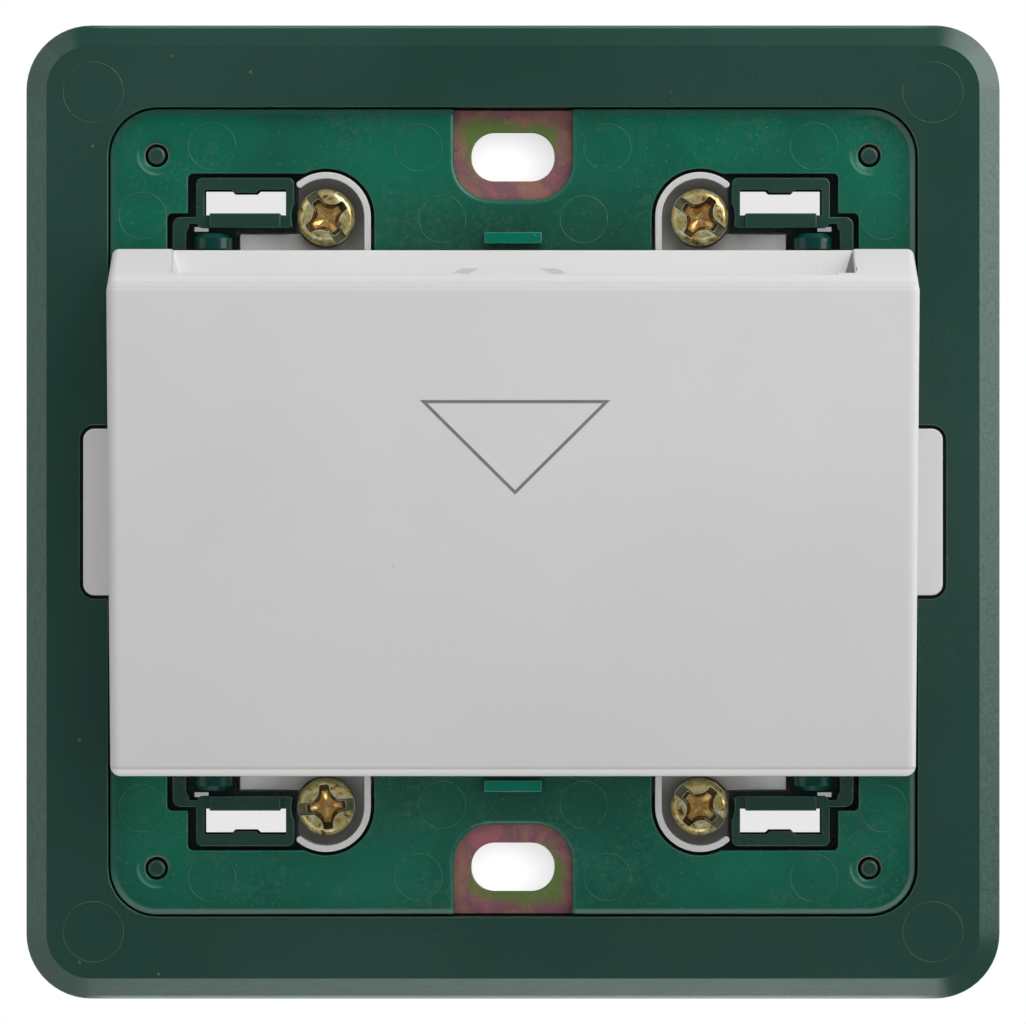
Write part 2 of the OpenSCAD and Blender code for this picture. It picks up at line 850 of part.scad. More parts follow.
module module_base() color(pale_grey) {
    difference() {
        union() {
            slab(deck_front, floor_back)
                plug_outline();
            slab(floor_back, inner_front)
                shell_outline();
            slab(inner_front, chamber_back)
                difference() {
                    shell_outline();
                    shell_outline(module_wall, tower_wall);
                }
            quarter_solids() {
                terminal_flange();
                slab(rim_front, deck_front)
                    translate([terminal_x, terminal_z])
                        well_rim();
                translate([post_x, 0, post_z])
                    rod_y(inner_front, chamber_back, post_r);
            }
            translate([0, 0, spring_z])
                rod_y(inner_front, cup_back, cup_r + cup_wall);
        }
        quarter_solids() {
            translate([terminal_x, 0, terminal_z])
                rod_y(deck_front - overrun, inner_front + overrun, shank_r + shank_hole_gap);
            translate([post_x, 0, post_z])
                rod_y(chamber_back - cover_screw_length - screw_hole_room, chamber_back + overrun,
                    tapping_r + tapping_gap);
            translate([pocket_screw_x, 0, pocket_screw_z])
                rod_y(deck_front - overrun, inner_front + overrun, tapping_r + tapping_gap);
            translate([terminal_x, (bar_back + cage_inner_back) / 2, tower_top])
                cube([wire_hole_w, wire_room - wire_hole_gap, 4 * tower_wall], center = true);
        }
        for (sx = [-1, 1])
            translate([sx * pole_x, 0, plunger_z])
                rod_y(deck_front - overrun, inner_front + overrun, plunger_r + plunger_hole_gap);
        translate([0, 0, spring_z])
            rod_y(deck_front - overrun, cup_floor, cup_r);
    }
}

module rear_cover() color(pale_grey) {
    difference() {
        slab(chamber_back, cover_back)
            shell_outline();
        quarter_solids()
            translate([post_x, 0, post_z])
                rod_y(chamber_back - overrun, cover_back + overrun, tapping_r + shank_hole_gap);
    }
    for (sx = [-1, 1], z = [case_top - cover_rib_inset, case_bottom + cover_rib_inset])
        slab(lid_back, chamber_back)
            translate([sx * pole_x, z])
                square([case_w - 2 * case_wall, cover_rib_w], center = true);
    panel_w = 2 * (post_x - panel_side_inset);
    panel_h = 2 * (plug_half_h - panel_end_inset);
    slab(cover_back, cover_back + panel_rise)
        difference() {
            rounded(panel_w, panel_h, panel_corner_r);
            rounded(panel_w - 2 * panel_line_w, panel_h - 2 * panel_line_w, panel_corner_r - panel_line_w);
        }
}

module guide_plate() color(pale_grey) {
    difference() {
        union() {
            slab(guide_front, guide_back)
                rounded(pocket_w, pocket_h, pocket_corner_r);
            slab(guide_back, skirt_back)
                difference() {
                    rounded(pocket_w, pocket_h, pocket_corner_r);
                    square([pocket_w - 2 * skirt_wall, pocket_h - 2 * skirt_wall], center = true);
                }
            quarter_solids()
                translate([pocket_screw_x, 0, pocket_screw_z])
                    rod_y(guide_back, deck_front, guide_post_r);
            both_sides() {
                slab(frame_front, sheet_front)
                    intersection() {
                        rounded(2 * ear_half_w, ear_h, ear_corner_r);
                        span(ear_root_x, 2 * ear_half_w, -ear_h, ear_h);
                    }
                slab(guide_back, frame_front)
                    span(ear_root_x, pocket_w / 2 - skirt_wall, -ear_h / 2, ear_h / 2);
                translate([0, pivot_y, pivot_z])
                    rod_x(barrel_half + cheek_gap, barrel_half + cheek_gap + cheek_w, cheek_r);
                along_x(barrel_half + cheek_gap, barrel_half + cheek_gap + cheek_w)
                    translate([guide_back, pivot_z - cheek_r])
                        square([pivot_y - guide_back, 2 * cheek_r]);
            }
        }
        slab(guide_front - overrun, guide_back + overrun)
            span(-guide_window_w / 2, guide_window_w / 2, guide_window_bottom, guide_window_top);
        along_x(-mouth_half, mouth_half)
            polygon([
                [guide_front - overrun, lead_in_z], [guide_front, lead_in_z],
                [guide_front + lead_in_depth, pocket_h / 2],
                [guide_front + lead_in_depth, pocket_h / 2 + overrun],
                [guide_front - overrun, pocket_h / 2 + overrun]
            ]);
        quarter_solids()
            translate([pocket_screw_x, 0, pocket_screw_z])
                rod_y(deck_front - pocket_screw_reach - pocket_hole_room, deck_front + overrun,
                    tapping_r + tapping_gap);
        for (sx = [-1, 1], z = peg_zs)
            translate([sx * peg_x, 0, z])
                rod_y(guide_front - overrun, guide_back + overrun, peg_r + tapping_gap);
        translate([0, pivot_y, pivot_z])
            rod_x(-barrel_half - 2 * cheek_w, barrel_half + 2 * cheek_w, lever_pin_r + tapping_gap);
    }
}

// Outer form of the pocket: a wedge with a leaning top, round front edges and a flat back
module pocket_form() {
    r = pocket_edge_r;
    hull()
        for (sx = [-1, 1]) {
            translate([sx * (pocket_w / 2 - r), pocket_front(pocket_lip_z) + r, pocket_lip_z - r])
                sphere(r, $fn = 32);
            translate([sx * (pocket_w / 2 - r), pocket_front(r - pocket_h / 2) + r, r - pocket_h / 2])
                sphere(r, $fn = 32);
            for (sz = [-1, 1])
                translate([
                    sx * (pocket_w / 2 - pocket_corner_r), guide_front,
                    sz * (pocket_h / 2 - pocket_corner_r)
                ])
                    rotate([90, 0, 0])
                        cylinder(h = pocket_rim, r = pocket_corner_r, $fn = 32);
        }
}

// Room for the card, wider at the mouth
module card_channel() {
    top = pocket_h / 2 + overrun;
    intersection() {
        along_x(-pocket_w, pocket_w)
            polygon([
                [guide_front + overrun, channel_bottom], [wall_inside(channel_bottom), channel_bottom],
                [wall_inside(top), top], [guide_front + overrun, top]
            ]);
        slab(-2 * pocket_top_depth, 0)
            polygon([
                [-channel_half, channel_bottom], [channel_half, channel_bottom],
                [channel_half, mouth_flare_z], [mouth_half, pocket_h / 2], [mouth_half, top],
                [-mouth_half, top], [-mouth_half, pocket_h / 2], [-channel_half, mouth_flare_z]
            ]);
    }
}

module pocket_cover() color(pale_grey) {
    mouth_inside = wall_inside(pocket_lip_z);
    difference() {
        pocket_form();
        card_channel();
        both_sides()
            along_x(end_core_inner, end_core_outer)
                polygon([
                    [guide_front + overrun, end_core_bottom],
                    [wall_inside(end_core_bottom), end_core_bottom],
                    [wall_inside(end_core_top), end_core_top], [guide_front + overrun, end_core_top]
                ]);
        translate([0, 0, pocket_lip_z - relief_h])
            linear_extrude(2 * relief_h)
                polygon([
                    [-relief_w / 2, mouth_inside + overrun], [relief_w / 2, mouth_inside + overrun],
                    [relief_w / 2, mouth_inside],
                    [relief_w / 2 - relief_taper, mouth_inside - relief_depth],
                    [relief_taper - relief_w / 2, mouth_inside - relief_depth],
                    [-relief_w / 2, mouth_inside]
                ]);
        slab(mouth_inside - side_relief_depth, mouth_inside + overrun)
            span(side_relief_x - side_relief_w / 2, side_relief_x + side_relief_w / 2,
                pocket_lip_z - relief_h, pocket_h);
    }
    for (x = guide_rib_xs)
        along_x(x - guide_rib_w / 2, x + guide_rib_w / 2)
            polygon([
                [wall_inside(guide_rib_start) - bond, guide_rib_start], [rib_plane, guide_rib_full],
                [rib_plane, channel_bottom - bond],
                [wall_inside(channel_bottom) - bond, channel_bottom - bond]
            ]);
    for (sx = [-1, 1], z = peg_zs)
        translate([sx * peg_x, 0, z])
            rod_y(guide_front - peg_root, guide_back - air, peg_r);
}

module card_lever() color(mid_grey) {
    difference() {
        union() {
            translate([0, pivot_y, pivot_z])
                rod_x(-barrel_half, barrel_half, barrel_r);
            slab(plate_front, plate_back)
                span(-barrel_half, barrel_half, plate_bottom, pivot_z);
            along_x(-nose_w / 2, nose_w / 2) {
                polygon([
                    [plate_back, nose_top], [plate_front, nose_top],
                    [nose_front + nose_set_back, nose_z + nose_flat],
                    [nose_front + nose_set_back, nose_z - nose_flat],
                    [plate_front, nose_bottom], [plate_back, nose_bottom]
                ]);
                translate([nose_front + nose_tip_r, nose_z])
                    circle(nose_tip_r);
            }
            for (sx = [-1, 1])
                translate([sx * pole_x, 0, plunger_z])
                    rod_y(plate_back - pad_root, pad_back, pad_r);
        }
        translate([0, pivot_y, pivot_z])
            rod_x(-barrel_half - overrun, barrel_half + overrun, lever_pin_r + running_clearance);
    }
}

module lever_pin() color(steel)
    translate([0, pivot_y, pivot_z])
        rod_x(-barrel_half - cheek_gap - cheek_w, barrel_half + cheek_gap + cheek_w, lever_pin_r);

// Path of the lever spring: a straight end, the turns, and a straight end
spring_steps = 8;
spring_sides = 6;
spring_front_y = plate_back;
spring_lead = spring_wire;
spring_climb = cup_floor - spring_front_y - 2 * spring_lead;
spring_path = concat(
    [[spring_r, spring_front_y, 0]],
    [for (i = [0 : spring_turns * spring_steps])
        [
            spring_r * cos(360 * i / spring_steps),
            spring_front_y + spring_lead + spring_climb * i / (spring_turns * spring_steps),
            spring_r * sin(360 * i / spring_steps)
        ]],
    [[spring_r, cup_floor, 0]]
);
spring_gap = spring_climb / spring_turns - spring_wire;
echo(least_gap_of_lever_spring_to_itself_mm = spring_gap);

function unit(v) = v / norm(v);

// A closed tube along a path, each ring square to the path there
module tube(path, r, sides) {
    last = len(path) - 1;
    points = [
        for (i = [0 : last])
            let (
                along = i == 0 || i == last ? [0, 1, 0] : unit(path[i + 1] - path[i - 1]),
                out = unit(cross(along, [path[i][2], 0, -path[i][0]])),
                across = cross(along, out)
            )
            for (k = [0 : sides - 1])
                path[i] + r * cos(360 * k / sides) * out + r * sin(360 * k / sides) * across
    ];
    walls = [
        for (i = [0 : last - 1], k = [0 : sides - 1])
            let (a = i * sides + k, b = i * sides + (k + 1) % sides)
            for (face = [[a, b, b + sides], [a, b + sides, a + sides]])
                face
    ];
    caps = [
        for (k = [1 : sides - 2])
            for (face = [[0, k + 1, k], [last * sides, last * sides + k, last * sides + k + 1]])
                face
    ];
    polyhedron(points, concat(walls, caps));
}

module lever_spring() color(steel)
    translate([0, 0, spring_z])
        tube(spring_path, spring_wire / 2, spring_sides);

// Parts of one switch pole about its own middle plane
module switch_case() color(dark_grey)
    difference() {
        slab(inner_front, case_back)
            span(-case_w / 2, case_w / 2, case_bottom, case_top);
        slab(inner_front + case_wall, case_back + overrun)
            span(case_wall - case_w / 2, case_w / 2 - case_wall,
                case_bottom + case_wall, case_top - case_wall);
        translate([0, 0, plunger_z])
            rod_y(inner_front - overrun, inner_front + case_wall + overrun, plunger_r + running_clearance);
        slab(bar_front - bar_clearance, case_back + overrun)
            span(-bar_w / 2 - bar_slot_gap, bar_w / 2 + bar_slot_gap,
                case_bottom - overrun, case_top + overrun);
    }

module switch_lid() color(dark_grey) {
    slab(case_back, lid_back)
        span(-case_w / 2, case_w / 2, case_bottom, case_top);
    slab(bar_back + bar_clearance, case_back)
        for (low = [case_bottom, case_top - case_wall])
            span(-bar_w / 2, bar_w / 2, low, low + case_wall);
}

module plunger() color(pale_grey)
    translate([0, 0, plunger_z]) {
        rod_y(plunger_front + plunger_r, plunger_back - plunger_r, plunger_r);
        for (y = [plunger_front + plunger_r, plunger_back - plunger_r])
            translate([0, y, 0])
                sphere(plunger_r);
        rod_y(collar_front, collar_front + collar_h, collar_r);
    }

module contact_blade() color(brass) {
    slab(blade_front, blade_back)
        span(-blade_w / 2, blade_w / 2, contact_z - contact_r, root_z + blade_tail);
    translate([0, 0, contact_z])
        rod_y(blade_back, blade_back + button_h, contact_r);
    translate([0, blade_back, root_z])
        rod_x(-blade_w / 2, blade_w / 2, knuckle_r);
}

// Flat bar from a pole to its screw terminal: in, across and out
module bar_outline(z_in, z_turn, z_out) {
    half = bar_w / 2;
    step = terminal_x - pole_x;
    span(-half, half, min(z_in, z_turn), max(z_in, z_turn));
    span(-half, step + half, z_turn - half, z_turn + half);
    span(step - half, step + half, min(z_out, z_turn), max(z_out, z_turn));
}

module line_bar() color(brass) {
    slab(bar_front, bar_back)
        bar_outline(root_z, line_turn_z + bar_w / 2, bar_end_z);
    difference() {
        slab(blade_back, bar_front)
            span(-bar_w / 2, bar_w / 2, root_z, root_z + post_h);
        translate([0, blade_back, root_z])
            rod_x(-bar_w, bar_w, knuckle_r + knuckle_gap);
    }
}

module load_bar() color(brass) {
    slab(bar_front, bar_back)
        bar_outline(contact_z + contact_r, load_turn_z - bar_w / 2, -bar_end_z);
    translate([0, 0, contact_z])
        rod_y(bar_front - rivet_h, bar_front, contact_r);
}

module on_right()
    translate([pole_x, 0, 0])
        children();

module on_left()
    mirror([1, 0, 0])
        on_right()
            children();

// Combined slotted and cross-recessed screw along the depth
module terminal_screw(angle) color(passivated) {
    head_front = deck_front - head_h;
    difference() {
        union() {
            rod_y(head_front + head_chamfer, deck_front, head_r);
            translate([0, head_front + head_chamfer, 0])
                rotate([90, 0, 0])
                    cylinder(h = head_chamfer, r1 = head_r, r2 = head_r - head_chamfer);
            rod_y(deck_front, shank_tip, shank_r);
        }
        translate([0, head_front, 0])
            rotate([0, angle, 0]) {
                cube([3 * head_r, 2 * slot_depth, recess_w], center = true);
                cube([recess_w, 2 * cross_depth, cross_length], center = true);
                cube([cross_length, 2 * cross_depth, recess_w], center = true);
            }
    }
}

// Rising cage: a loop round the bar with a threaded front
module terminal_cage() color(steel)
    difference() {
        slab(cage_front, cage_back)
            square([cage_w, cage_h], center = true);
        slab(cage_front + nut_h, cage_inner_back)
            square([cage_w - 2 * cage_wall, 2 * cage_h], center = true);
        rod_y(cage_front - overrun, cage_front + nut_h + overrun, shank_r + thread_gap);
    }

// Puts a solid on the axis of one of the terminals
module at_terminal(sx, sz)
    translate([sx * terminal_x, 0, sz * terminal_z])
        children();

// Tapping screw along the depth, with its head towards the back
module tapping_screw(y_tip, y_head) {
    rod_y(y_tip, y_head, tapping_r);
    difference() {
        rod_y(y_head, y_head + tapping_head_h, tapping_head_r);
        for (turn = [0, 90])
            rotate([0, turn, 0])
                translate([0, y_head + tapping_head_h, 0])
                    cube([tapping_slot_l, 2 * tapping_slot_depth, tapping_slot_w], center = true);
    }
}

module pocket_screws() color(steel)
    quarter_solids()
        translate([pocket_screw_x, 0, pocket_screw_z])
            tapping_screw(deck_front - pocket_screw_reach, inner_front);

module rear_cover_screws() color(steel)
    quarter_solids()
        translate([post_x, 0, post_z])
            tapping_screw(chamber_back - cover_screw_length, cover_back);

mounting_frame();
fixing_strap();
insulating_sheet();
module_base();
rear_cover();
guide_plate();
pocket_cover();
card_lever();
lever_pin();
lever_spring();
on_left() switch_case();  // left_switch_case
on_right() switch_case();  // right_switch_case
on_left() switch_lid();  // left_switch_lid
on_right() switch_lid();  // right_switch_lid
on_left() plunger();  // left_plunger
on_right() plunger();  // right_plunger
on_left() contact_blade();  // left_contact_blade
on_right() contact_blade();  // right_contact_blade
on_left() line_bar();  // left_line_bar
on_right() line_bar();  // right_line_bar
on_left() load_bar();  // left_load_bar
on_right() load_bar();  // right_load_bar
at_terminal(-1, 1) terminal_screw(slot_angles[0]);  // upper_left_terminal_screw
at_terminal(1, 1) terminal_screw(slot_angles[1]);  // upper_right_terminal_screw
at_terminal(-1, -1) terminal_screw(slot_angles[2]);  // lower_left_terminal_screw
at_terminal(1, -1) terminal_screw(slot_angles[3]);  // lower_right_terminal_screw
at_terminal(-1, 1) terminal_cage();  // upper_left_terminal_cage
at_terminal(1, 1) terminal_cage();  // upper_right_terminal_cage
at_terminal(-1, -1) terminal_cage();  // lower_left_terminal_cage
at_terminal(1, -1) terminal_cage();  // lower_right_terminal_cage
pocket_screws();
rear_cover_screws();
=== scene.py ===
"""Looks of a hotel key card switch: rounded mouldings, screws, marks, finishes, light and camera.

X runs right, Y runs into the wall and Z runs up, in metres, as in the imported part.
"""

import math

import bmesh
import bpy
from mathutils import Matrix, Vector


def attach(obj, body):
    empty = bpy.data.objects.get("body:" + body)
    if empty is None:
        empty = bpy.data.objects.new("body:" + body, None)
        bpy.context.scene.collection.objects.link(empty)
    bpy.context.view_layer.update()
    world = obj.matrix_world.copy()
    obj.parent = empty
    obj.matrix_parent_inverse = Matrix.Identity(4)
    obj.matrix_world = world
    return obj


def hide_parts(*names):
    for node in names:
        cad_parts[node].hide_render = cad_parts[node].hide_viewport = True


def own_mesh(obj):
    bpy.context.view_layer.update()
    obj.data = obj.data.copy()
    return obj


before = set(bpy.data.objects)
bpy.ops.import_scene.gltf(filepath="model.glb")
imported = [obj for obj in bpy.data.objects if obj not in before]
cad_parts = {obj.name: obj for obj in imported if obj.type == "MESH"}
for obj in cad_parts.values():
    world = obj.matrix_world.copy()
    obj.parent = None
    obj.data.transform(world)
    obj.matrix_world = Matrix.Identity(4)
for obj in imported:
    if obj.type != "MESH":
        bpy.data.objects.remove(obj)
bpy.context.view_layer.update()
MM = 0.001

# Places of the part that the looks repeat, in millimetres
FRAME_FRONT = -5.0
FRAME_HALF = 41.25
FRAME_CORNER = 5.5
BEVEL_WIDTH = 1.8
SHEET_FRONT = -4.0
SHEET_HALF = 34.1
SHEET_CORNER = 4.0
LUG_LEVEL = -4.3
LUG_HALF = 2.45
SIDE_WELL = (23.4, 27.3)
BEAD_END = 23.75
PIN_REACH = 30.2
DECK_LEVELS = (-2.8, -1.5)
DECK_FRONT = -1.8
HEAD_RADIUS = 2.45
HEAD_FRONT = -3.8
SHANK_RADIUS = 1.5
SHANK_TIP = 12.15
TERMINAL_X = 15.85
TERMINAL_Z = 25.0
FIXING_Z = 30.15
SLOT_HALF_LENGTH = 3.525
SLOT_HALF_WIDTH = 2.075
POCKET_FRONT_Y = -14.091
POCKET_LEAN = -0.1239
MARK_LEVEL = 20.28
MARK_REACH = 3.75

# Kinds of socket, and the colour of the stage's light
VALUE = "NodeSocketFloat"
VECTOR = "NodeSocketVector"
COLOUR = "NodeSocketColor"
MATERIAL = "NodeSocketMaterial"
OBJECT = "NodeSocketObject"
GEOMETRY = "NodeSocketGeometry"
WHITE = (1.0, 1.0, 1.0, 1.0)

# Dust, lighter edges that are partly abraded and partly a painted highlight, and the drawing lines and dull
# spots of metals
SPECK_SIZE = 0.16
BREAK_SCALE = 700.0
LINE_SCALE = 4000.0
SPOT_SCALE = 400.0

# Angles up to which faces count as flat, and from which edges count as sharp
FLAT_ANGLE = math.radians(0.6)
MOULDED_ANGLE = math.radians(48.0)
CUT_ANGLE = math.radians(40.0)


def put(tree, kind, feeds=None, **settings):
    """Adds a node with its settings, and feeds its inputs from sockets or plain values."""
    node = tree.nodes.new(kind)
    for name, value in settings.items():
        setattr(node, name, value)
    for name, value in (feeds or {}).items():
        socket = node.inputs[name]
        if isinstance(value, bpy.types.NodeSocket):
            tree.links.new(value, socket)
        else:
            socket.default_value = value
    return node


def maths(tree, operation, first, second=0.0):
    """Output of a Math node."""
    return put(tree, "ShaderNodeMath", {0: first, 1: second}, operation=operation).outputs[0]


def product(tree, first, *others):
    """Product of several values."""
    for other in others:
        first = maths(tree, "MULTIPLY", first, other)
    return first


def unsigned(tree, value):
    """Value without its sign."""
    return maths(tree, "ABSOLUTE", value)


def rest_of(tree, share):
    """What a share leaves of one."""
    return maths(tree, "SUBTRACT", 1.0, share)


def blended(tree, first, first_share, second):
    """First value in its share, and second value in the rest."""
    return maths(tree, "ADD", product(tree, first, first_share), product(tree, second, 1.0 - first_share))


def ranged(tree, value, low, high, new_low=0.0, new_high=1.0):
    """Output of a clamped Map Range node."""
    feeds = {"Value": value, "From Min": low, "From Max": high, "To Min": new_low, "To Max": new_high}
    return put(tree, "ShaderNodeMapRange", feeds).outputs["Result"]


def strip(tree, value, rise, fall=None, most=1.0):
    """Mask that grows to its most over the rise and is gone past the fall, both pairs of limits in mm."""
    mask = ranged(tree, value, rise[0] * MM, rise[1] * MM, 0.0, most)
    if fall:
        mask = product(tree, mask, ranged(tree, value, fall[1] * MM, fall[0] * MM))
    return mask


def between(tree, value, low, high):
    """Mask that is one between two limits in mm."""
    above = maths(tree, "GREATER_THAN", value, low * MM)
    return product(tree, above, maths(tree, "LESS_THAN", value, high * MM))


def along(tree, place):
    """The three coordinates of a place."""
    return put(tree, "ShaderNodeSeparateXYZ", {"Vector": place}).outputs


def distance(tree, first, second):
    """Length of a way given by its two legs, square to each other."""
    way = put(tree, "ShaderNodeCombineXYZ", {"X": first, "Y": second}).outputs[0]
    return put(tree, "ShaderNodeVectorMath", {0: way}, operation="LENGTH").outputs["Value"]


def mixed(tree, share, first, second):
    """Output of a colour Mix node."""
    return put(tree, "ShaderNodeMix", {0: share, 6: first, 7: second}, data_type="RGBA").outputs[2]


def tinted(tree, share, colour, tone):
    """Colour with a share of a plain tone in it."""
    return mixed(tree, share, colour, (*tone, 1.0))


def noise(tree, place, scale, detail=2.0, roughness=0.5, distortion=0.0):
    """Value of a Noise node."""
    feeds = {"Vector": place, "Scale": scale, "Detail": detail, "Roughness": roughness,
             "Distortion": distortion}
    return put(tree, "ShaderNodeTexNoise", feeds).outputs["Fac"]


def marked(tree, label):
    """Value of a mark that the faces carry."""
    return put(tree, "ShaderNodeAttribute", attribute_name=label).outputs["Fac"]


def effect(name, inputs, outputs, kind="ShaderNodeTree"):
    """Node group with named sockets, and its inner input and output sockets."""
    tree = bpy.data.node_groups.new(name, kind)
    for label, socket_type in inputs:
        tree.interface.new_socket(label, in_out="INPUT", socket_type=socket_type)
    for label, socket_type in outputs:
        tree.interface.new_socket(label, in_out="OUTPUT", socket_type=socket_type)
    given = tree.nodes.new("NodeGroupInput").outputs
    result = tree.nodes.new("NodeGroupOutput").inputs
    return tree, given, result


def make_moulded_skin():
    """Moulded plastic: soft patches of two tones, fine grain and uneven gloss."""
    tree, given, result = effect(
        "moulded_skin",
        [("Coordinates", VECTOR), ("Deep tone", COLOUR), ("Light tone", COLOUR), ("Patch scale", VALUE),
         ("Grain scale", VALUE), ("Smoothest", VALUE), ("Roughest", VALUE)],
        [("Colour", COLOUR), ("Roughness", VALUE), ("Height", VALUE)])
    patches = ranged(tree, noise(tree, given["Coordinates"], given["Patch scale"], 4.0, 0.55), 0.34, 0.66)
    grain = noise(tree, given["Coordinates"], given["Grain scale"], 3.0, 0.6)
    tone = blended(tree, patches, 0.8, grain)
    tree.links.new(mixed(tree, tone, given["Deep tone"], given["Light tone"]), result["Colour"])
    gloss = ranged(tree, tone, 0.1, 0.9, given["Smoothest"], given["Roughest"])
    tree.links.new(gloss, result["Roughness"])
    tree.links.new(grain, result["Height"])
    return tree


def make_dust_specks():
    """Scattered specks: a mask of small round grains, in a share of the cells."""
    tree, given, result = effect(
        "dust_specks",
        [("Coordinates", VECTOR), ("Cell scale", VALUE), ("Speck size", VALUE), ("Share", VALUE)],
        [("Mask", VALUE)])
    cells = put(tree, "ShaderNodeTexVoronoi", {"Vector": given["Coordinates"], "Scale": given["Cell scale"]})
    inside = ranged(tree, cells.outputs["Distance"], given["Speck size"], 0.0)
    split = put(tree, "ShaderNodeSeparateColor", {"Color": cells.outputs["Color"]})
    chosen = maths(tree, "LESS_THAN", split.outputs["Red"], given["Share"])
    strength = product(tree, inside, product(tree, chosen, split.outputs["Green"]))
    tree.links.new(strength, result["Mask"])
    return tree


def make_edge_wear_and_highlight():
    """Lighter rounded edges, broken up by noise: partly abrasion and partly a painted highlight."""
    tree, given, result = effect(
        "edge_wear_and_highlight",
        [("Coordinates", VECTOR), ("Edge", VALUE), ("Break scale", VALUE), ("Amount", VALUE)],
        [("Mask", VALUE)])
    broken = ranged(tree, noise(tree, given["Coordinates"], given["Break scale"], 3.0), 0.3, 0.7, 0.35, 1.0)
    tree.links.new(product(tree, given["Edge"], broken, given["Amount"]), result["Mask"])
    return tree


def make_passivated_film():
    """Thin film on plated steel: four tones that run into each other, with fine speckle."""
    tree, given, result = effect(
        "passivated_film",
        [("Coordinates", VECTOR), ("First tone", COLOUR), ("Second tone", COLOUR), ("Third tone", COLOUR),
         ("Fourth tone", COLOUR), ("Film scale", VALUE), ("Speckle scale", VALUE), ("Smoothest", VALUE),
         ("Roughest", VALUE)],
        [("Colour", COLOUR), ("Roughness", VALUE), ("Height", VALUE)])
    broad = noise(tree, given["Coordinates"], given["Film scale"], 3.0, 0.5, 0.7)
    speckle = noise(tree, given["Coordinates"], given["Speckle scale"], 2.0, 0.6)
    level = blended(tree, broad, 0.82, speckle)
    lower = mixed(tree, ranged(tree, level, 0.34, 0.46), given["First tone"], given["Second tone"])
    upper = mixed(tree, ranged(tree, level, 0.54, 0.66), given["Third tone"], given["Fourth tone"])
    tree.links.new(mixed(tree, ranged(tree, level, 0.46, 0.54), lower, upper), result["Colour"])
    gloss = ranged(tree, speckle, 0.3, 0.7, given["Smoothest"], given["Roughest"])
    tree.links.new(gloss, result["Roughness"])
    tree.links.new(speckle, result["Height"])
    return tree


def make_drawn_metal():
    """Drawn or stamped metal: fine lines along the depth, dull spots and two tones."""
    tree, given, result = effect(
        "drawn_metal",
        [("Coordinates", VECTOR), ("Clean tone", COLOUR), ("Dull tone", COLOUR), ("Line scale", VALUE),
         ("Spot scale", VALUE), ("Smoothest", VALUE), ("Roughest", VALUE)],
        [("Colour", COLOUR), ("Roughness", VALUE), ("Height", VALUE)])
    stretched = put(tree, "ShaderNodeMapping", {"Vector": given["Coordinates"], "Scale": (1.0, 0.06, 1.0)})
    lines = noise(tree, stretched.outputs["Vector"], given["Line scale"], 3.0, 0.6)
    spots = ranged(tree, noise(tree, given["Coordinates"], given["Spot scale"], 4.0, 0.6), 0.4, 0.7)
    tree.links.new(mixed(tree, spots, given["Clean tone"], given["Dull tone"]), result["Colour"])
    level = blended(tree, lines, 0.5, spots)
    gloss = ranged(tree, level, 0.1, 0.8, given["Smoothest"], given["Roughest"])
    tree.links.new(gloss, result["Roughness"])
    tree.links.new(lines, result["Height"])
    return tree


moulded_skin = make_moulded_skin()
dust_specks = make_dust_specks()
edge_wear_and_highlight = make_edge_wear_and_highlight()
passivated_film = make_passivated_film()
drawn_metal = make_drawn_metal()


def finish(name):
    """New material, its tree, its shader and its Object coordinates."""
    material = bpy.data.materials.new(name)
    material.use_nodes = True
    tree = material.node_tree
    place = put(tree, "ShaderNodeTexCoord").outputs["Object"]
    return material, tree, tree.nodes["Principled BSDF"], place


def grouped(tree, group, place, values):
    """Outputs of an effect placed in a material's tree, where a tone of three numbers is opaque."""
    feeds = {"Coordinates": place}
    for label, value in values.items():
        feeds[label] = (*value, 1.0) if isinstance(value, tuple) else value
    return put(tree, "ShaderNodeGroup", feeds, node_tree=group).outputs


def dress(tree, shader, colour, roughness, height, strength, depth):
    """Feeds colour, roughness and a height into the shader."""
    bump = put(tree, "ShaderNodeBump", {"Height": height, "Strength": strength, "Distance": depth})
    tree.links.new(colour, shader.inputs["Base Color"])
    tree.links.new(roughness, shader.inputs["Roughness"])
    tree.links.new(bump.outputs["Normal"], shader.inputs["Normal"])


def inset_from(tree, spot, half_side, corner):
    """Metres from the outline of a rounded square in the view plane, negative inside; sizes in mm."""
    past = []
    for axis in ("X", "Z"):
        past_straight = maths(tree, "SUBTRACT", unsigned(tree, spot[axis]), (half_side - corner) * MM)
        past.append(maths(tree, "MAXIMUM", past_straight, 0.0))
    return maths(tree, "SUBTRACT", distance(tree, *past), corner * MM)


def pin_marks(tree, spot):
    """Masks about the locating pins: a painted highlight at the lower left of each pin's hollow, brown upper
    edge of each hole.
    """
    offsets = []
    for axis in ("X", "Z"):
        outward = maths(tree, "SUBTRACT", unsigned(tree, spot[axis]), PIN_REACH * MM)
        offsets.append(product(tree, outward, maths(tree, "SIGN", spot[axis])))
    away = distance(tree, *offsets)
    ring = strip(tree, away, (1.35, 1.60), (1.62, 1.72))
    low_left_highlight = strip(tree, maths(tree, "ADD", *offsets), (-0.9, -2.0), most=0.7)
    hole_edge = strip(tree, away, (1.10, 1.04))
    upper = strip(tree, offsets[1], (-0.25, 0.25), most=0.9)
    return product(tree, ring, low_left_highlight), product(tree, hole_edge, upper)


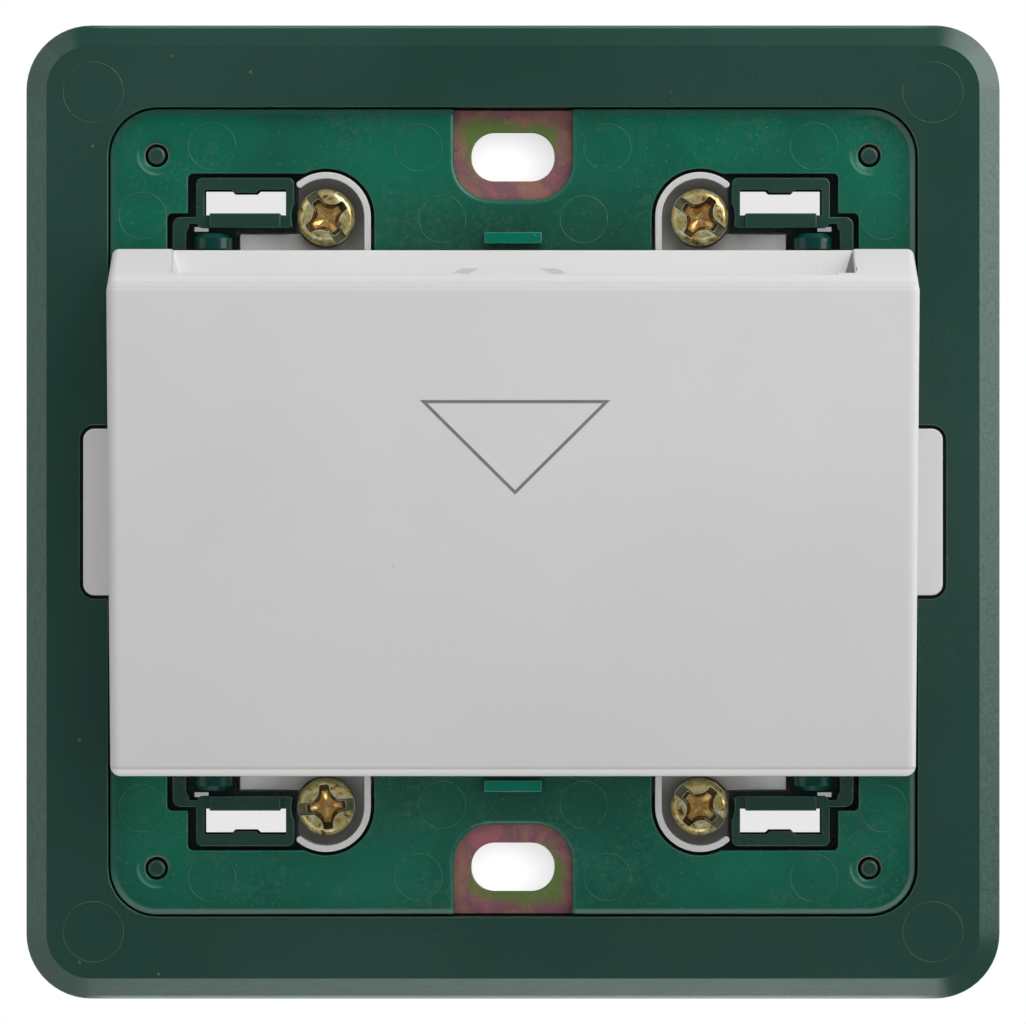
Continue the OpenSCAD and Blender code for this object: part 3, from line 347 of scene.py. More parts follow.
def deck_darkening_and_painted_light(tree, place):
    """Deck darker about the terminal screws, and painted light on it further off: no height, and masks with
    their tones.
    """
    spot = along(tree, place)
    offsets = [maths(tree, "SUBTRACT", unsigned(tree, spot[axis]), middle * MM)
               for axis, middle in (("X", TERMINAL_X), ("Z", TERMINAL_Z))]
    away = distance(tree, *offsets)
    on_deck = between(tree, spot["Y"], *DECK_LEVELS)
    # Darker close to the screws, and painted light further off
    darker_near_screws = product(tree, on_deck, strip(tree, away, (4.8, 2.8), most=0.75))
    painted_light_further_off = product(tree, on_deck, strip(tree, away, (4.6, 6.6)))
    return None, [(darker_near_screws, (0.230, 0.215, 0.190)), (painted_light_further_off, (0.90, 0.90, 0.90))]


def sheet_relief(tree, place):
    """Tone patches, bloom and pin marks of the sheet, with a painted highlight along its outline, stronger at
    the right and the bottom, a painted highlight about each pin, painted light on the lugs, and painted shade
    on the beads and below the pocket: height in metres, and masks with their tones.
    """
    spot = along(tree, place)
    across, upward = unsigned(tree, spot["X"]), unsigned(tree, spot["Z"])
    inset = inset_from(tree, spot, SHEET_HALF, SHEET_CORNER)
    # Painted highlight along the rounded outline, stronger at the right and the bottom
    outline_painted_highlight = strip(tree, inset, (-0.55, -0.30), most=0.75)
    right_outline_painted_highlight = product(tree, outline_painted_highlight, strip(tree, spot["X"], (28.5, 31.5)))
    low_outline_painted_highlight = product(tree, outline_painted_highlight, strip(tree, spot["Z"], (-30.0, -33.0)))
    # Painted light on the lugs, painted shade on the beads
    raised = maths(tree, "LESS_THAN", spot["Y"], LUG_LEVEL * MM)
    lugs_painted_light = product(tree, raised, maths(tree, "LESS_THAN", across, LUG_HALF * MM))
    in_well = between(tree, across, *SIDE_WELL)
    beads_painted_shade = product(tree, in_well, maths(tree, "LESS_THAN", upward, BEAD_END * MM))
    clear = ranged(tree, noise(tree, place, 70.0, 2.0, 0.5, 0.4), 0.48, 0.70, 0.0, 0.9)
    fine_bloom = ranged(tree, noise(tree, place, 2400.0, 3.0, 0.7), 0.46, 0.66, 0.0, 0.55)
    broad_bloom = ranged(tree, noise(tree, place, 160.0, 3.0, 0.6), 0.40, 0.62, 0.15, 1.0)
    bloom = product(tree, fine_bloom, broad_bloom)
    # Painted shade below the pocket
    painted_shade_below_pocket = product(tree, strip(tree, upward, (29.0, 23.5), most=0.45), strip(tree, across, (14.0, 9.0)))
    pin_painted_highlight, hole = pin_marks(tree, spot)
    tints = [(clear, (0.0, 0.150, 0.084)), (painted_shade_below_pocket, (0.016, 0.046, 0.033)), (bloom, (0.046, 0.132, 0.097)),
             (outline_painted_highlight, (0.045, 0.170, 0.122)), (right_outline_painted_highlight, (0.170, 0.270, 0.225)),
             (low_outline_painted_highlight, (0.200, 0.340, 0.285)), (lugs_painted_light, (0.0, 0.160, 0.102)), (beads_painted_shade, (0.002, 0.045, 0.034)),
             (pin_painted_highlight, (0.130, 0.270, 0.215)), (hole, (0.220, 0.100, 0.050))]
    return ranged(tree, inset, -0.45 * MM, 0.0, 0.15 * MM, 0.0), tints


def bevel_grain_and_painted_light(tree, place):
    """Drawn grain with a painted sheen, painted shade on the top and a painted highlight along the outer line
    of the frame's bevel: height in metres, and masks with their tones.
    """
    spot = along(tree, place)
    across, upward = unsigned(tree, spot["X"]), unsigned(tree, spot["Z"])
    inset = inset_from(tree, spot, FRAME_HALF, FRAME_CORNER)
    band = strip(tree, inset, (-BEVEL_WIDTH - 0.04, -BEVEL_WIDTH + 0.04))
    level = maths(tree, "GREATER_THAN", upward, across)
    top = product(tree, level, maths(tree, "GREATER_THAN", spot["Z"], 0.0))
    bottom = maths(tree, "SUBTRACT", level, top)
    straight = strip(tree, maths(tree, "MINIMUM", across, upward), (36.5, 34.0))
    streaks = []
    for stretch in ((0.15, 1.0, 1.0), (1.0, 1.0, 0.4)):
        drawn = put(tree, "ShaderNodeMapping", {"Vector": place, "Scale": stretch})
        streaks.append(noise(tree, drawn.outputs["Vector"], 3000.0, 3.0, 0.65))
    chosen = put(tree, "ShaderNodeMix", {0: level, 2: streaks[1], 3: streaks[0]}).outputs[0]
    # Streaks of grain with a painted sheen, left out on the top of the bevel
    streaks_and_sheen = product(tree, band, straight, ranged(tree, chosen, 0.3, 0.7, 0.05, 0.8))
    grain_and_painted_sheen = product(tree, streaks_and_sheen, rest_of(tree, top))
    # Painted shade on the top of the bevel; painted highlight line along its outer edge, brighter at the
    # bottom
    shaded = product(tree, band, top, 0.8)
    line = product(tree, strip(tree, inset, (-0.30, -0.18), most=0.8), straight)
    tints = [(grain_and_painted_sheen, (0.030, 0.085, 0.066)), (shaded, (0.006, 0.040, 0.028)),
             (product(tree, line, top), (0.080, 0.160, 0.130)),
             (product(tree, line, bottom), (0.260, 0.360, 0.320))]
    return product(tree, chosen, band, straight, 0.028 * MM), tints


def pocket_lip(tree, place):
    """Parting line over the pocket's bottom edge, and painted light and shade: lighter above and darker
    below, painted shade on the upper edge's rounding and the left side, painted light on the upper band, the
    right side and the strip below the line: height in metres, masks with their tones.
    """
    spot = along(tree, place)
    x, z = spot["X"], spot["Z"]
    # Painted light and shade, all but the parting line
    upper = strip(tree, z, (0.0, 18.0), most=0.35)
    lower = strip(tree, z, (5.0, -21.0), most=0.40)
    brow_painted_shade = strip(tree, z, (18.40, 18.62), (19.02, 19.14), 0.6)
    band_painted_light = strip(tree, z, (19.22, 19.34), (19.56, 19.70), 0.5)
    right_painted_light = strip(tree, x, (33.1, 33.6), most=0.8)
    left_painted_shade = strip(tree, x, (-33.1, -33.6), most=0.8)
    line = strip(tree, z, (-21.20, -21.42), (-21.46, -21.56))
    lip_painted_light = strip(tree, z, (-21.46, -21.56))
    tints = [(upper, (0.64, 0.64, 0.637)), (lower, (0.48, 0.48, 0.478)), (brow_painted_shade, (0.46, 0.46, 0.458)),
             (band_painted_light, (0.66, 0.66, 0.657)), (right_painted_light, (0.74, 0.74, 0.735)),
             (left_painted_shade, (0.48, 0.48, 0.478)), (line, (0.45, 0.45, 0.445)), (lip_painted_light, (0.69, 0.69, 0.685))]
    return product(tree, line, -0.02 * MM), tints


def lead_in_painted_shade(tree, place):
    """Two leaning patches of painted shade on the lead-in of the card slot: no height, and a mask with its
    tone.
    """
    spot = along(tree, place)
    inside = strip(tree, spot["Z"], (20.0, 20.06), (20.50, 20.56))
    lean = product(tree, maths(tree, "SUBTRACT", spot["Z"], MARK_LEVEL * MM), 2.0)
    off_middle = unsigned(tree, maths(tree, "ADD", spot["X"], 0.3 * MM))
    centred = maths(tree, "ADD", off_middle, lean)
    away = unsigned(tree, maths(tree, "SUBTRACT", centred, MARK_REACH * MM))
    mark = product(tree, inside, strip(tree, away, (0.80, 0.66), most=0.7))
    return None, [(mark, (0.40, 0.40, 0.395))]


def plastic(name, deep, light, patch_scale=60.0, grain_scale=3000.0, gloss=(0.36, 0.46),
            dust=(0.3, 0.3, 0.3), dust_share=0.05, dust_scale=900.0, edge=None, edge_amount=0.0,
            grain_depth=0.006, specular=0.5, relief=None):
    """Moulded plastic with grain, dust, lighter edges that are partly abraded and partly a painted highlight,
    and a relief of its own, which can paint light and shade.
    """
    material, tree, shader, place = finish(name)
    skin = grouped(tree, moulded_skin, place, {
        "Deep tone": deep, "Light tone": light, "Patch scale": patch_scale, "Grain scale": grain_scale,
        "Smoothest": gloss[0], "Roughest": gloss[1]})
    specks = grouped(tree, dust_specks, place, {
        "Cell scale": dust_scale, "Speck size": SPECK_SIZE, "Share": dust_share})
    colour = skin["Colour"]
    height = product(tree, skin["Height"], grain_depth * MM)
    if relief:
        rise, tints = relief(tree, place)
        if rise is not None:
            height = maths(tree, "ADD", height, rise)
        for mask, tone in tints:
            colour = tinted(tree, mask, colour, tone)
    colour = tinted(tree, specks["Mask"], colour, dust)
    # Lighter edge tone: partly abrasion, partly a painted highlight
    if edge:
        edge_wear_and_highlight_mask = grouped(tree, edge_wear_and_highlight, place, {
            "Edge": marked(tree, "rounded_edge"), "Break scale": BREAK_SCALE, "Amount": edge_amount})
        colour = tinted(tree, edge_wear_and_highlight_mask["Mask"], colour, edge)
    shader.inputs["Specular IOR Level"].default_value = specular
    dress(tree, shader, colour, skin["Roughness"], height, 1.0, 1.0)
    return material


def metal(name, clean, dull, gloss=(0.2, 0.4)):
    """Bare metal with drawing lines and dull spots."""
    material, tree, shader, place = finish(name)
    skin = grouped(tree, drawn_metal, place, {
        "Clean tone": clean, "Dull tone": dull, "Line scale": LINE_SCALE, "Spot scale": SPOT_SCALE,
        "Smoothest": gloss[0], "Roughest": gloss[1]})
    shader.inputs["Metallic"].default_value = 1.0
    dress(tree, shader, skin["Colour"], skin["Roughness"], skin["Height"], 0.5, 0.004 * MM)
    return material


def make_strap_finish():
    """Yellow-passivated sheet steel: plum, brown and rose, an olive ring about each slot, bright specks."""
    material, tree, shader, place = finish("passivated_strap")
    olive, gold = (0.150, 0.260, 0.055), (0.80, 0.66, 0.40)
    skin = grouped(tree, passivated_film, place, {
        "First tone": (0.28, 0.11, 0.17), "Second tone": (0.42, 0.20, 0.15),
        "Third tone": (0.27, 0.13, 0.16), "Fourth tone": (0.48, 0.16, 0.19),
        "Film scale": 260.0, "Speckle scale": 7000.0, "Smoothest": 0.30, "Roughest": 0.46})
    specks = grouped(tree, dust_specks, place, {"Cell scale": 2600.0, "Speck size": 0.3, "Share": 0.55})
    spot = along(tree, place)
    outward = maths(tree, "SUBTRACT", unsigned(tree, spot["Z"]), FIXING_Z * MM)
    past_end = maths(tree, "SUBTRACT", unsigned(tree, spot["X"]), SLOT_HALF_LENGTH * MM)
    past_side = maths(tree, "SUBTRACT", unsigned(tree, outward), SLOT_HALF_WIDTH * MM)
    reach = distance(tree, maths(tree, "MAXIMUM", past_end, 0.0), maths(tree, "MAXIMUM", past_side, 0.0))
    waver = product(tree, noise(tree, place, 380.0, 4.0), 2.0 * MM)
    inward_lean = ranged(tree, outward, 1.0 * MM, -2.0 * MM, 0.0, 1.1 * MM)
    turned_side = product(tree, spot["X"], maths(tree, "SIGN", spot["Z"]))
    side_lean = ranged(tree, turned_side, 0.0, 5.0 * MM, 0.0, 0.7 * MM)
    for shift in (waver, inward_lean, side_lean):
        reach = maths(tree, "ADD", reach, shift)
    ring = strip(tree, reach, (2.3, 1.5), most=0.9)
    colour = tinted(tree, ring, skin["Colour"], olive)
    colour = tinted(tree, specks["Mask"], colour, gold)
    shader.inputs["Metallic"].default_value = 0.3
    dress(tree, shader, colour, skin["Roughness"], skin["Height"], 0.5, 0.006 * MM)
    return material


def make_screw_finish():
    """Yellow-passivated screw steel: bronze, gold, olive and silver, copper in the recess, with painted shade
    on the recess walls, a painted olive reflection on the slot floor and painted white glints on the rounded
    edges.
    """
    material, tree, shader, place = finish("passivated_screw")
    skin = grouped(tree, passivated_film, place, {
        "First tone": (0.12, 0.08, 0.03), "Second tone": (0.70, 0.52, 0.20),
        "Third tone": (0.58, 0.58, 0.24), "Fourth tone": (0.95, 0.93, 0.76),
        "Film scale": 1500.0, "Speckle scale": 3000.0, "Smoothest": 0.06, "Roughest": 0.16})
    colour = skin["Colour"]
    # Painted shade on the recess walls, painted reflection on the slot floor, the cross floor's own gold,
    # painted glints on the rounded edges
    for label, share, tone in (("recess_wall", 0.9, (0.080, 0.042, 0.012)),
                               ("slot_floor", 0.85, (0.13, 0.17, 0.11)),
                               ("cross_floor", 0.7, (0.95, 0.62, 0.20)),
                               ("rounded_edge", 1.0, (1.0, 0.94, 0.88))):
        colour = tinted(tree, product(tree, marked(tree, label), share), colour, tone)
    stains = ranged(tree, noise(tree, place, 1300.0), 0.44, 0.60, 0.0, 0.75)
    copper = (0.66, 0.31, 0.08)
    colour = tinted(tree, product(tree, marked(tree, "cross_floor"), stains), colour, copper)
    # Rounded edges less metallic, so that their painted glints show white
    edge_glint_metallic = ranged(tree, marked(tree, "rounded_edge"), 0.0, 1.0, 0.5, 0.1)
    tree.links.new(edge_glint_metallic, shader.inputs["Metallic"])
    dress(tree, shader, colour, skin["Roughness"], skin["Height"], 0.8, 0.03 * MM)
    return material


dark_green = plastic(
    "dark_green_moulding", (0.0125, 0.050, 0.037), (0.017, 0.058, 0.045), patch_scale=35.0,
    grain_scale=2600.0, gloss=(0.22, 0.30), dust=(0.20, 0.28, 0.25), dust_share=0.03,
    edge=(0.070, 0.120, 0.100), edge_amount=0.6, specular=0.6, relief=bevel_grain_and_painted_light)
bright_green = plastic(
    "bright_green_sheet", (0.008, 0.084, 0.054), (0.003, 0.124, 0.077), patch_scale=120.0,
    grain_scale=2200.0, gloss=(0.20, 0.28), dust=(0.30, 0.50, 0.43), dust_share=0.55, dust_scale=1700.0,
    edge=(0.060, 0.180, 0.130), edge_amount=0.6, grain_depth=0.007, specular=0.4, relief=sheet_relief)
# Ejector-mark lines, lighter in patches: a painted highlight on the hairline rings
ring_highlight_green = plastic(
    "ring_highlight_green_line", (0.006, 0.100, 0.064), (0.070, 0.195, 0.145), patch_scale=1100.0, gloss=(0.3, 0.4))
ring_highlight_dark = plastic(
    "ring_highlight_dark_line", (0.014, 0.052, 0.040), (0.060, 0.112, 0.092), patch_scale=900.0, gloss=(0.3, 0.4))

# The pale mouldings share their grain and dust, and all but the pocket their gloss and lighter edges, partly
# abraded and partly a painted highlight
pale_grain = {"patch_scale": 30.0, "grain_scale": 3200.0, "dust": (0.35, 0.35, 0.34), "dust_share": 0.012}
pale_gloss_edge_wear_and_highlight = {"gloss": (0.38, 0.48), "edge": (0.70, 0.70, 0.69), "edge_amount": 0.5}
pale_tones = ((0.570, 0.570, 0.565), (0.610, 0.610, 0.605))
pale_grey = plastic("pale_grey_moulding", *pale_tones, **pale_grain, **pale_gloss_edge_wear_and_highlight)
base_grey = plastic("base_grey_moulding", *pale_tones, **pale_grain, **pale_gloss_edge_wear_and_highlight, relief=deck_darkening_and_painted_light)
guide_grey = plastic(
    "guide_grey_moulding", (0.590, 0.590, 0.585), (0.630, 0.630, 0.625), **pale_grain, **pale_gloss_edge_wear_and_highlight,
    relief=lead_in_painted_shade)
pocket_grey = plastic(
    "pocket_grey_moulding", (0.555, 0.555, 0.552), (0.590, 0.590, 0.587), **pale_grain, gloss=(0.45, 0.55),
    edge=(0.62, 0.62, 0.61), edge_amount=0.3, specular=0.3, relief=pocket_lip)
# Lit and shaded copies of the pale grey: painted light on the left end of the card slot, painted shade on the
# right end
painted_light_grey = plastic(
    "painted_light_grey_moulding", (0.800, 0.800, 0.795), (0.840, 0.840, 0.835), gloss=(0.45, 0.55))
painted_shade_grey = plastic(
    "painted_shade_grey_moulding", (0.200, 0.200, 0.198), (0.230, 0.230, 0.228), gloss=(0.45, 0.55), specular=0.2)
lever_grey = plastic(
    "lever_grey_moulding", (0.070, 0.072, 0.075), (0.095, 0.097, 0.100), gloss=(0.34, 0.46))
switch_grey = plastic(
    "switch_case_moulding", (0.200, 0.205, 0.210), (0.240, 0.245, 0.250), gloss=(0.40, 0.52))
plunger_white = plastic(
    "plunger_moulding", (0.62, 0.61, 0.57), (0.70, 0.69, 0.65), gloss=(0.28, 0.38))
printed_grey = plastic(
    "printed_grey", (0.150, 0.152, 0.152), (0.180, 0.182, 0.182), patch_scale=900.0, gloss=(0.42, 0.55))
bright_steel = metal("bright_steel_wire", (0.66, 0.66, 0.65), (0.48, 0.48, 0.47))
spring_steel = metal("spring_steel_wire", (0.52, 0.52, 0.53), (0.34, 0.33, 0.33), gloss=(0.24, 0.42))
cage_steel = metal("cage_steel_sheet", (0.60, 0.60, 0.58), (0.42, 0.41, 0.39), gloss=(0.28, 0.48))
bar_brass = metal("bar_brass_strip", (0.72, 0.53, 0.22), (0.50, 0.35, 0.14), gloss=(0.22, 0.42))
contact_brass = metal("contact_brass_leaf", (0.74, 0.50, 0.24), (0.55, 0.34, 0.16), gloss=(0.2, 0.36))
strap_film = make_strap_finish()
screw_film = make_screw_finish()


def settled(shape, mesh):
    """Mesh that takes over a bmesh."""
    shape.to_mesh(mesh)
    shape.free()
    return mesh


def opened(mesh):
    """Bmesh of a mesh."""
    shape = bmesh.new()
    shape.from_mesh(mesh)
    return shape


def show(name, mesh, finish_used, body, replaced=(), even=True, crease=25.0):
    """Shows a mesh as a piece of the part that rides on a body and stands for CAD nodes."""
    piece = bpy.data.objects.new(name, mesh)
    bpy.context.scene.collection.objects.link(piece)
    mesh.materials.clear()
    mesh.materials.append(finish_used)
    mesh.shade_smooth()
    mesh.set_sharp_from_angle(angle=math.radians(crease))
    if even:
        weighted = piece.modifiers.new("even_faces", "WEIGHTED_NORMAL")
        weighted.keep_sharp = True
    if replaced:
        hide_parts(*replaced)
    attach(piece, body)
    return piece


def cleaned(mesh, merge):
    """Bmesh of a mesh with its flat faces joined, and points merged that lie closer than merge in mm."""
    shape = opened(mesh)
    bmesh.ops.remove_doubles(shape, verts=shape.verts, dist=merge * MM)
    bmesh.ops.dissolve_limit(shape, angle_limit=FLAT_ANGLE, verts=shape.verts, edges=shape.edges)
    return shape


def sharp_edges(shape, least_angle, wanted):
    """Outer edges that turn by more than an angle and lie where they are wanted."""
    found = []
    for edge in shape.edges:
        if not edge.is_manifold or edge.calc_face_angle_signed(0.0) < least_angle:
            continue
        middle = (edge.verts[0].co + edge.verts[1].co) / (2.0 * MM)
        if wanted(middle):
            found.append(edge)
    return found


def round_off(shape, edges, radius, segments, clamp, edge_wear_and_highlight_share):
    """Rounds edges with a radius in mm, and marks the new faces with their share of lighter edge tone, partly
    abrasion and partly a painted highlight.
    """
    band = shape.faces.layers.float["rounded_edge"]
    made = bmesh.ops.bevel(
        shape, geom=edges, offset=radius * MM, offset_type="OFFSET", segments=segments, profile=0.5,
        affect="EDGES", clamp_overlap=clamp, loop_slide=True)
    for face in made["faces"]:
        face[band] = edge_wear_and_highlight_share


def moulded(node, finish_used, passes):
    """Shows a CAD node with its outer edges rounded, in passes of (radius in mm, share of abraded and highlit
    edge tone, where).
    """
    shape = cleaned(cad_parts[node].data, 0.001)
    bmesh.ops.dissolve_degenerate(shape, dist=0.04 * MM, edges=shape.edges)
    shape.faces.layers.float.new("rounded_edge")
    for radius, edge_wear_and_highlight_share, wanted in passes:
        round_off(shape, sharp_edges(shape, MOULDED_ANGLE, wanted), radius, 4, False, edge_wear_and_highlight_share)
    mesh = settled(shape, bpy.data.meshes.new(node + "_moulded"))
    kept_normals = mesh.attributes.get("custom_normal")
    if kept_normals:
        mesh.attributes.remove(kept_normals)
    show(node + "_moulded", mesh, finish_used, "housing", (node,))


def anywhere(middle):
    """Every edge."""
    return True


def sheet_edge(middle):
    """Every edge of the sheet but its outline at the left and the top, which lies close to the frame."""
    straight, clear = SHEET_HALF - SHEET_CORNER, 30.0
    past_straight = [max(abs(place) - straight, 0.0) for place in (middle.x, middle.z)]
    inside = math.hypot(*past_straight) < SHEET_CORNER - 0.1
    return inside or (middle.x > -clear and middle.z < clear)


def bay_rim(middle):
    """Front edge of the bays in the sheet."""
    bay_half, bay_start = 5.2, 26.0
    return middle.y < SHEET_FRONT + 0.05 and abs(middle.x) < bay_half and abs(middle.z) > bay_start


moulded("mounting_frame", dark_green, [(0.08, 1.0, anywhere)])
moulded("insulating_sheet", bright_green, [(0.42, 0.35, bay_rim), (0.12, 1.0, sheet_edge)])
moulded("fixing_strap", strap_film, [(0.08, 1.0, anywhere)])
moulded("module_base", base_grey, [(0.08, 1.0, anywhere)])
moulded("rear_cover", pale_grey, [(0.15, 1.0, anywhere)])
moulded("guide_plate", guide_grey, [(0.12, 1.0, anywhere)])
moulded("pocket_cover", pocket_grey, [(0.14, 1.0, anywhere)])


def lathe(outline, sides):
    """Closed solid of revolution about Y from (radius, y) points in mm, from axis to axis."""
    shape = bmesh.new()
    angles = [2.0 * math.pi * i / sides for i in range(sides)]
    rings = []
    for radius, y in outline:
        if radius == 0.0:
            rings.append([shape.verts.new((0.0, y * MM, 0.0))])
            continue
        points = [(radius * MM * math.cos(a), y * MM, radius * MM * math.sin(a)) for a in angles]
        rings.append([shape.verts.new(point) for point in points])
    for near, far in zip(rings, rings[1:]):
        for i in range(sides):
            j = (i + 1) % sides
            corners = [near[i % len(near)], near[j % len(near)], far[j % len(far)], far[i % len(far)]]
            shape.faces.new(list(dict.fromkeys(corners)))
    bmesh.ops.recalc_face_normals(shape, faces=shape.faces)
    return shape


def bridge(shape, rings):
    """Walls between rings of equal count, each to the next."""
    for near, far in zip(rings, rings[1:]):
        for i in range(len(near)):
            j = (i + 1) % len(near)
            shape.faces.new((near[i], near[j], far[j], far[i]))


def loft(sections):
    """Closed solid through outlines of equal count, each (points as (x, z) in mm, y in mm)."""
    shape = bmesh.new()
    rings = [[shape.verts.new((x * MM, y * MM, z * MM)) for x, z in points] for points, y in sections]
    bridge(shape, rings)
    shape.faces.new(rings[0])
    shape.faces.new(list(reversed(rings[-1])))
    bmesh.ops.recalc_face_normals(shape, faces=shape.faces)
    return shape


def solid_object(name, shape):
    """Object that takes over a bmesh."""
    holder = bpy.data.objects.new(name, settled(shape, bpy.data.meshes.new(name)))
    bpy.context.scene.collection.objects.link(holder)
    return holder


def evaluated(holder):
    """Plain mesh of an object with its modifiers applied."""
    graph = bpy.context.evaluated_depsgraph_get()
    return bpy.data.meshes.new_from_object(holder.evaluated_get(graph))


def cut(name, body_shape, cutters):
    """Mesh of a solid with other solids cut out of it."""
    holder = solid_object(name, body_shape)
    tools = [solid_object(name + "_tool", cutter) for cutter in cutters]
    for tool in tools:
        boolean = holder.modifiers.new("cut", "BOOLEAN")
        boolean.operation = "DIFFERENCE"
        boolean.solver = "EXACT"
        boolean.object = tool
    mesh = evaluated(holder)
    for spare in [holder] + tools:
        bpy.data.objects.remove(spare)
    return mesh


def cross_outline(reach, half_width, inner):
    """Outline of a cross recess in mm, whose arms flow together in arcs that pass at inner."""
    centre = (reach ** 2 + half_width ** 2 - 2.0 * inner ** 2) / (2.0 * (reach + half_width - 2.0 * inner))
    radius = math.hypot(reach - centre, half_width - centre)
    first = math.atan2(half_width - centre, reach - centre)
    last = -math.pi / 2.0 - first - math.pi
    arc = [first + (last - first) * i / 10 for i in range(11)]
    quarter = [(reach + 0.1, -0.6 * half_width), (reach + 0.1, 0.6 * half_width)]
    quarter += [(centre + radius * math.cos(a), centre + radius * math.sin(a)) for a in arc]
    outline = []
    for c, s in ((1, 0), (0, 1), (-1, 0), (0, -1)):
        outline += [(x * c - z * s, x * s + z * c) for x, z in quarter]
    return outline


def rectangle(half_length, half_width):
    """Rectangle in mm."""
    return [(-half_length, -half_width), (half_length, -half_width), (half_length, half_width),
            (-half_length, half_width)]


def scaled(outline, share):
    """Outline drawn in towards its middle."""
    return [(x * share, z * share) for x, z in outline]


def soften(mesh, radius):
    """Rounds the sharp edges of a cut mesh a little."""
    shape = cleaned(mesh, 0.004)
    shape.faces.layers.float.new("rounded_edge")
    round_off(shape, sharp_edges(shape, CUT_ANGLE, anywhere), radius, 2, True, 1.0)
    return settled(shape, mesh)


def mark_recess(mesh, slot_depth):
    """Marks the walls and the floors of a screw's recess on its faces."""
    deepest, shallowest, outermost, cone_depth = 1.6, 0.07, 2.2, 0.9
    level, leaning, steep = -0.9, -0.4, -0.8
    shape = opened(mesh)
    edge = shape.faces.layers.float["rounded_edge"]
    wall = shape.faces.layers.float.new("recess_wall")
    slot_floor = shape.faces.layers.float.new("slot_floor")
    cross_floor = shape.faces.layers.float.new("cross_floor")
    for face in shape.faces:
        middle = face.calc_center_median() / MM
        depth = middle.y - HEAD_FRONT
        if face[edge] or depth < shallowest or depth > deepest:
            continue
        if face.normal.y < level and abs(depth - slot_depth) < 0.1:
            face[slot_floor] = 1.0
        elif math.hypot(middle.x, middle.z) > outermost:
            continue
        elif face.normal.y < leaning and depth > cone_depth:
            face[cross_floor] = 1.0
        elif face.normal.y > steep:
            face[wall] = 1.0
    return settled(shape, mesh)


def terminal_screw_pattern():
    """Pan-headed terminal screw on the Y axis, with a slot right across and a flowing cross recess."""
    front, back = HEAD_FRONT, DECK_FRONT
    core = SHANK_RADIUS - 0.2
    crown = [(0.0, 0.0), (0.8, 0.02), (1.35, 0.07), (1.75, 0.14), (2.05, 0.24), (2.28, 0.38), (2.41, 0.56),
             (HEAD_RADIUS, 0.75)]
    outline = [(radius, front + drop) for radius, drop in crown]
    outline += [(HEAD_RADIUS, back - 0.15), (2.35, back), (SHANK_RADIUS, back), (SHANK_RADIUS, back + 2.0),
                (core, back + 2.3), (core, SHANK_TIP - 0.6), (core - 0.4, SHANK_TIP), (0.0, SHANK_TIP)]
    cross = cross_outline(reach=1.95, half_width=0.46, inner=0.82)
    slot_depth, slot_reach = 0.55, 3.0
    recess = loft([(scaled(cross, 1.08), front - 0.4), (cross, front), (scaled(cross, 0.66), front + 1.05),
                   (scaled(cross, 0.08), front + 1.5)])
    slot = loft([(rectangle(slot_reach, 0.57), front - 0.5),
                 (rectangle(slot_reach, 0.52), front + slot_depth)])
    mesh = soften(cut("terminal_screw_pattern", lathe(outline, sides=64), [recess, slot]), radius=0.1)
    return mark_recess(mesh, slot_depth)


def tapping_screw_pattern(length):
    """Pan-headed tapping screw on the Y axis, its head's seat at zero and its head behind it."""
    outline = [(0.0, 1.3), (1.2, 1.3), (1.55, 1.22), (1.8, 1.0), (1.9, 0.7), (1.9, 0.0), (0.98, 0.0),
               (0.85, -0.4), (0.85, 1.0 - length), (0.0, -length)]
    cross = cross_outline(reach=1.2, half_width=0.26, inner=0.40)
    recess = loft([(scaled(cross, 1.1), 1.7), (cross, 1.3), (scaled(cross, 0.5), 0.55),
                   (scaled(cross, 0.08), 0.3)])
    return soften(cut("tapping_screw_pattern", lathe(outline, sides=40), [recess]), radius=0.04)


def grow_tree(name, inputs):
    """Geometry Nodes tree with named inputs, and its inner input and output sockets."""
    return effect(name, [("Geometry", GEOMETRY)] + inputs, [("Geometry", GEOMETRY)], "GeometryNodeTree")


def close_tree(tree, geometry, finish_used, result):
    """Ends a tree in real geometry with its material."""
    real = put(tree, "GeometryNodeRealizeInstances", {"Geometry": geometry})
    covered = put(tree, "GeometryNodeSetMaterial", {"Geometry": real.outputs[0], "Material": finish_used})
    tree.links.new(covered.outputs[0], result["Geometry"])


def circle(tree, sides, radius):
    """Curve of a circle."""
    return put(tree, "GeometryNodeCurvePrimitiveCircle", {"Resolution": sides, "Radius": radius}).outputs[0]


def helix(tree, sides, turns, radius, length):
    """Curve of a helix that rises along Z."""
    feeds = {"Resolution": sides, "Rotations": turns, "Start Radius": radius, "End Radius": radius,
             "Height": length}
    return put(tree, "GeometryNodeCurveSpiral", feeds).outputs[0]


def tube(tree, path, section, capped):
    """Mesh of a section drawn along a path."""
    feeds = {"Curve": path, "Profile Curve": section, "Fill Caps": capped}
    return put(tree, "GeometryNodeCurveToMesh", feeds).outputs[0]


def laid(tree, geometry, turn, start=(0.0, 0.0, 0.0)):
    """Geometry turned by quarter turns about X and moved to its start."""
    feeds = {"Geometry": geometry, "Translation": start, "Rotation": (turn * math.pi / 2.0, 0.0, 0.0)}
    return put(tree, "GeometryNodeTransform", feeds).outputs[0]


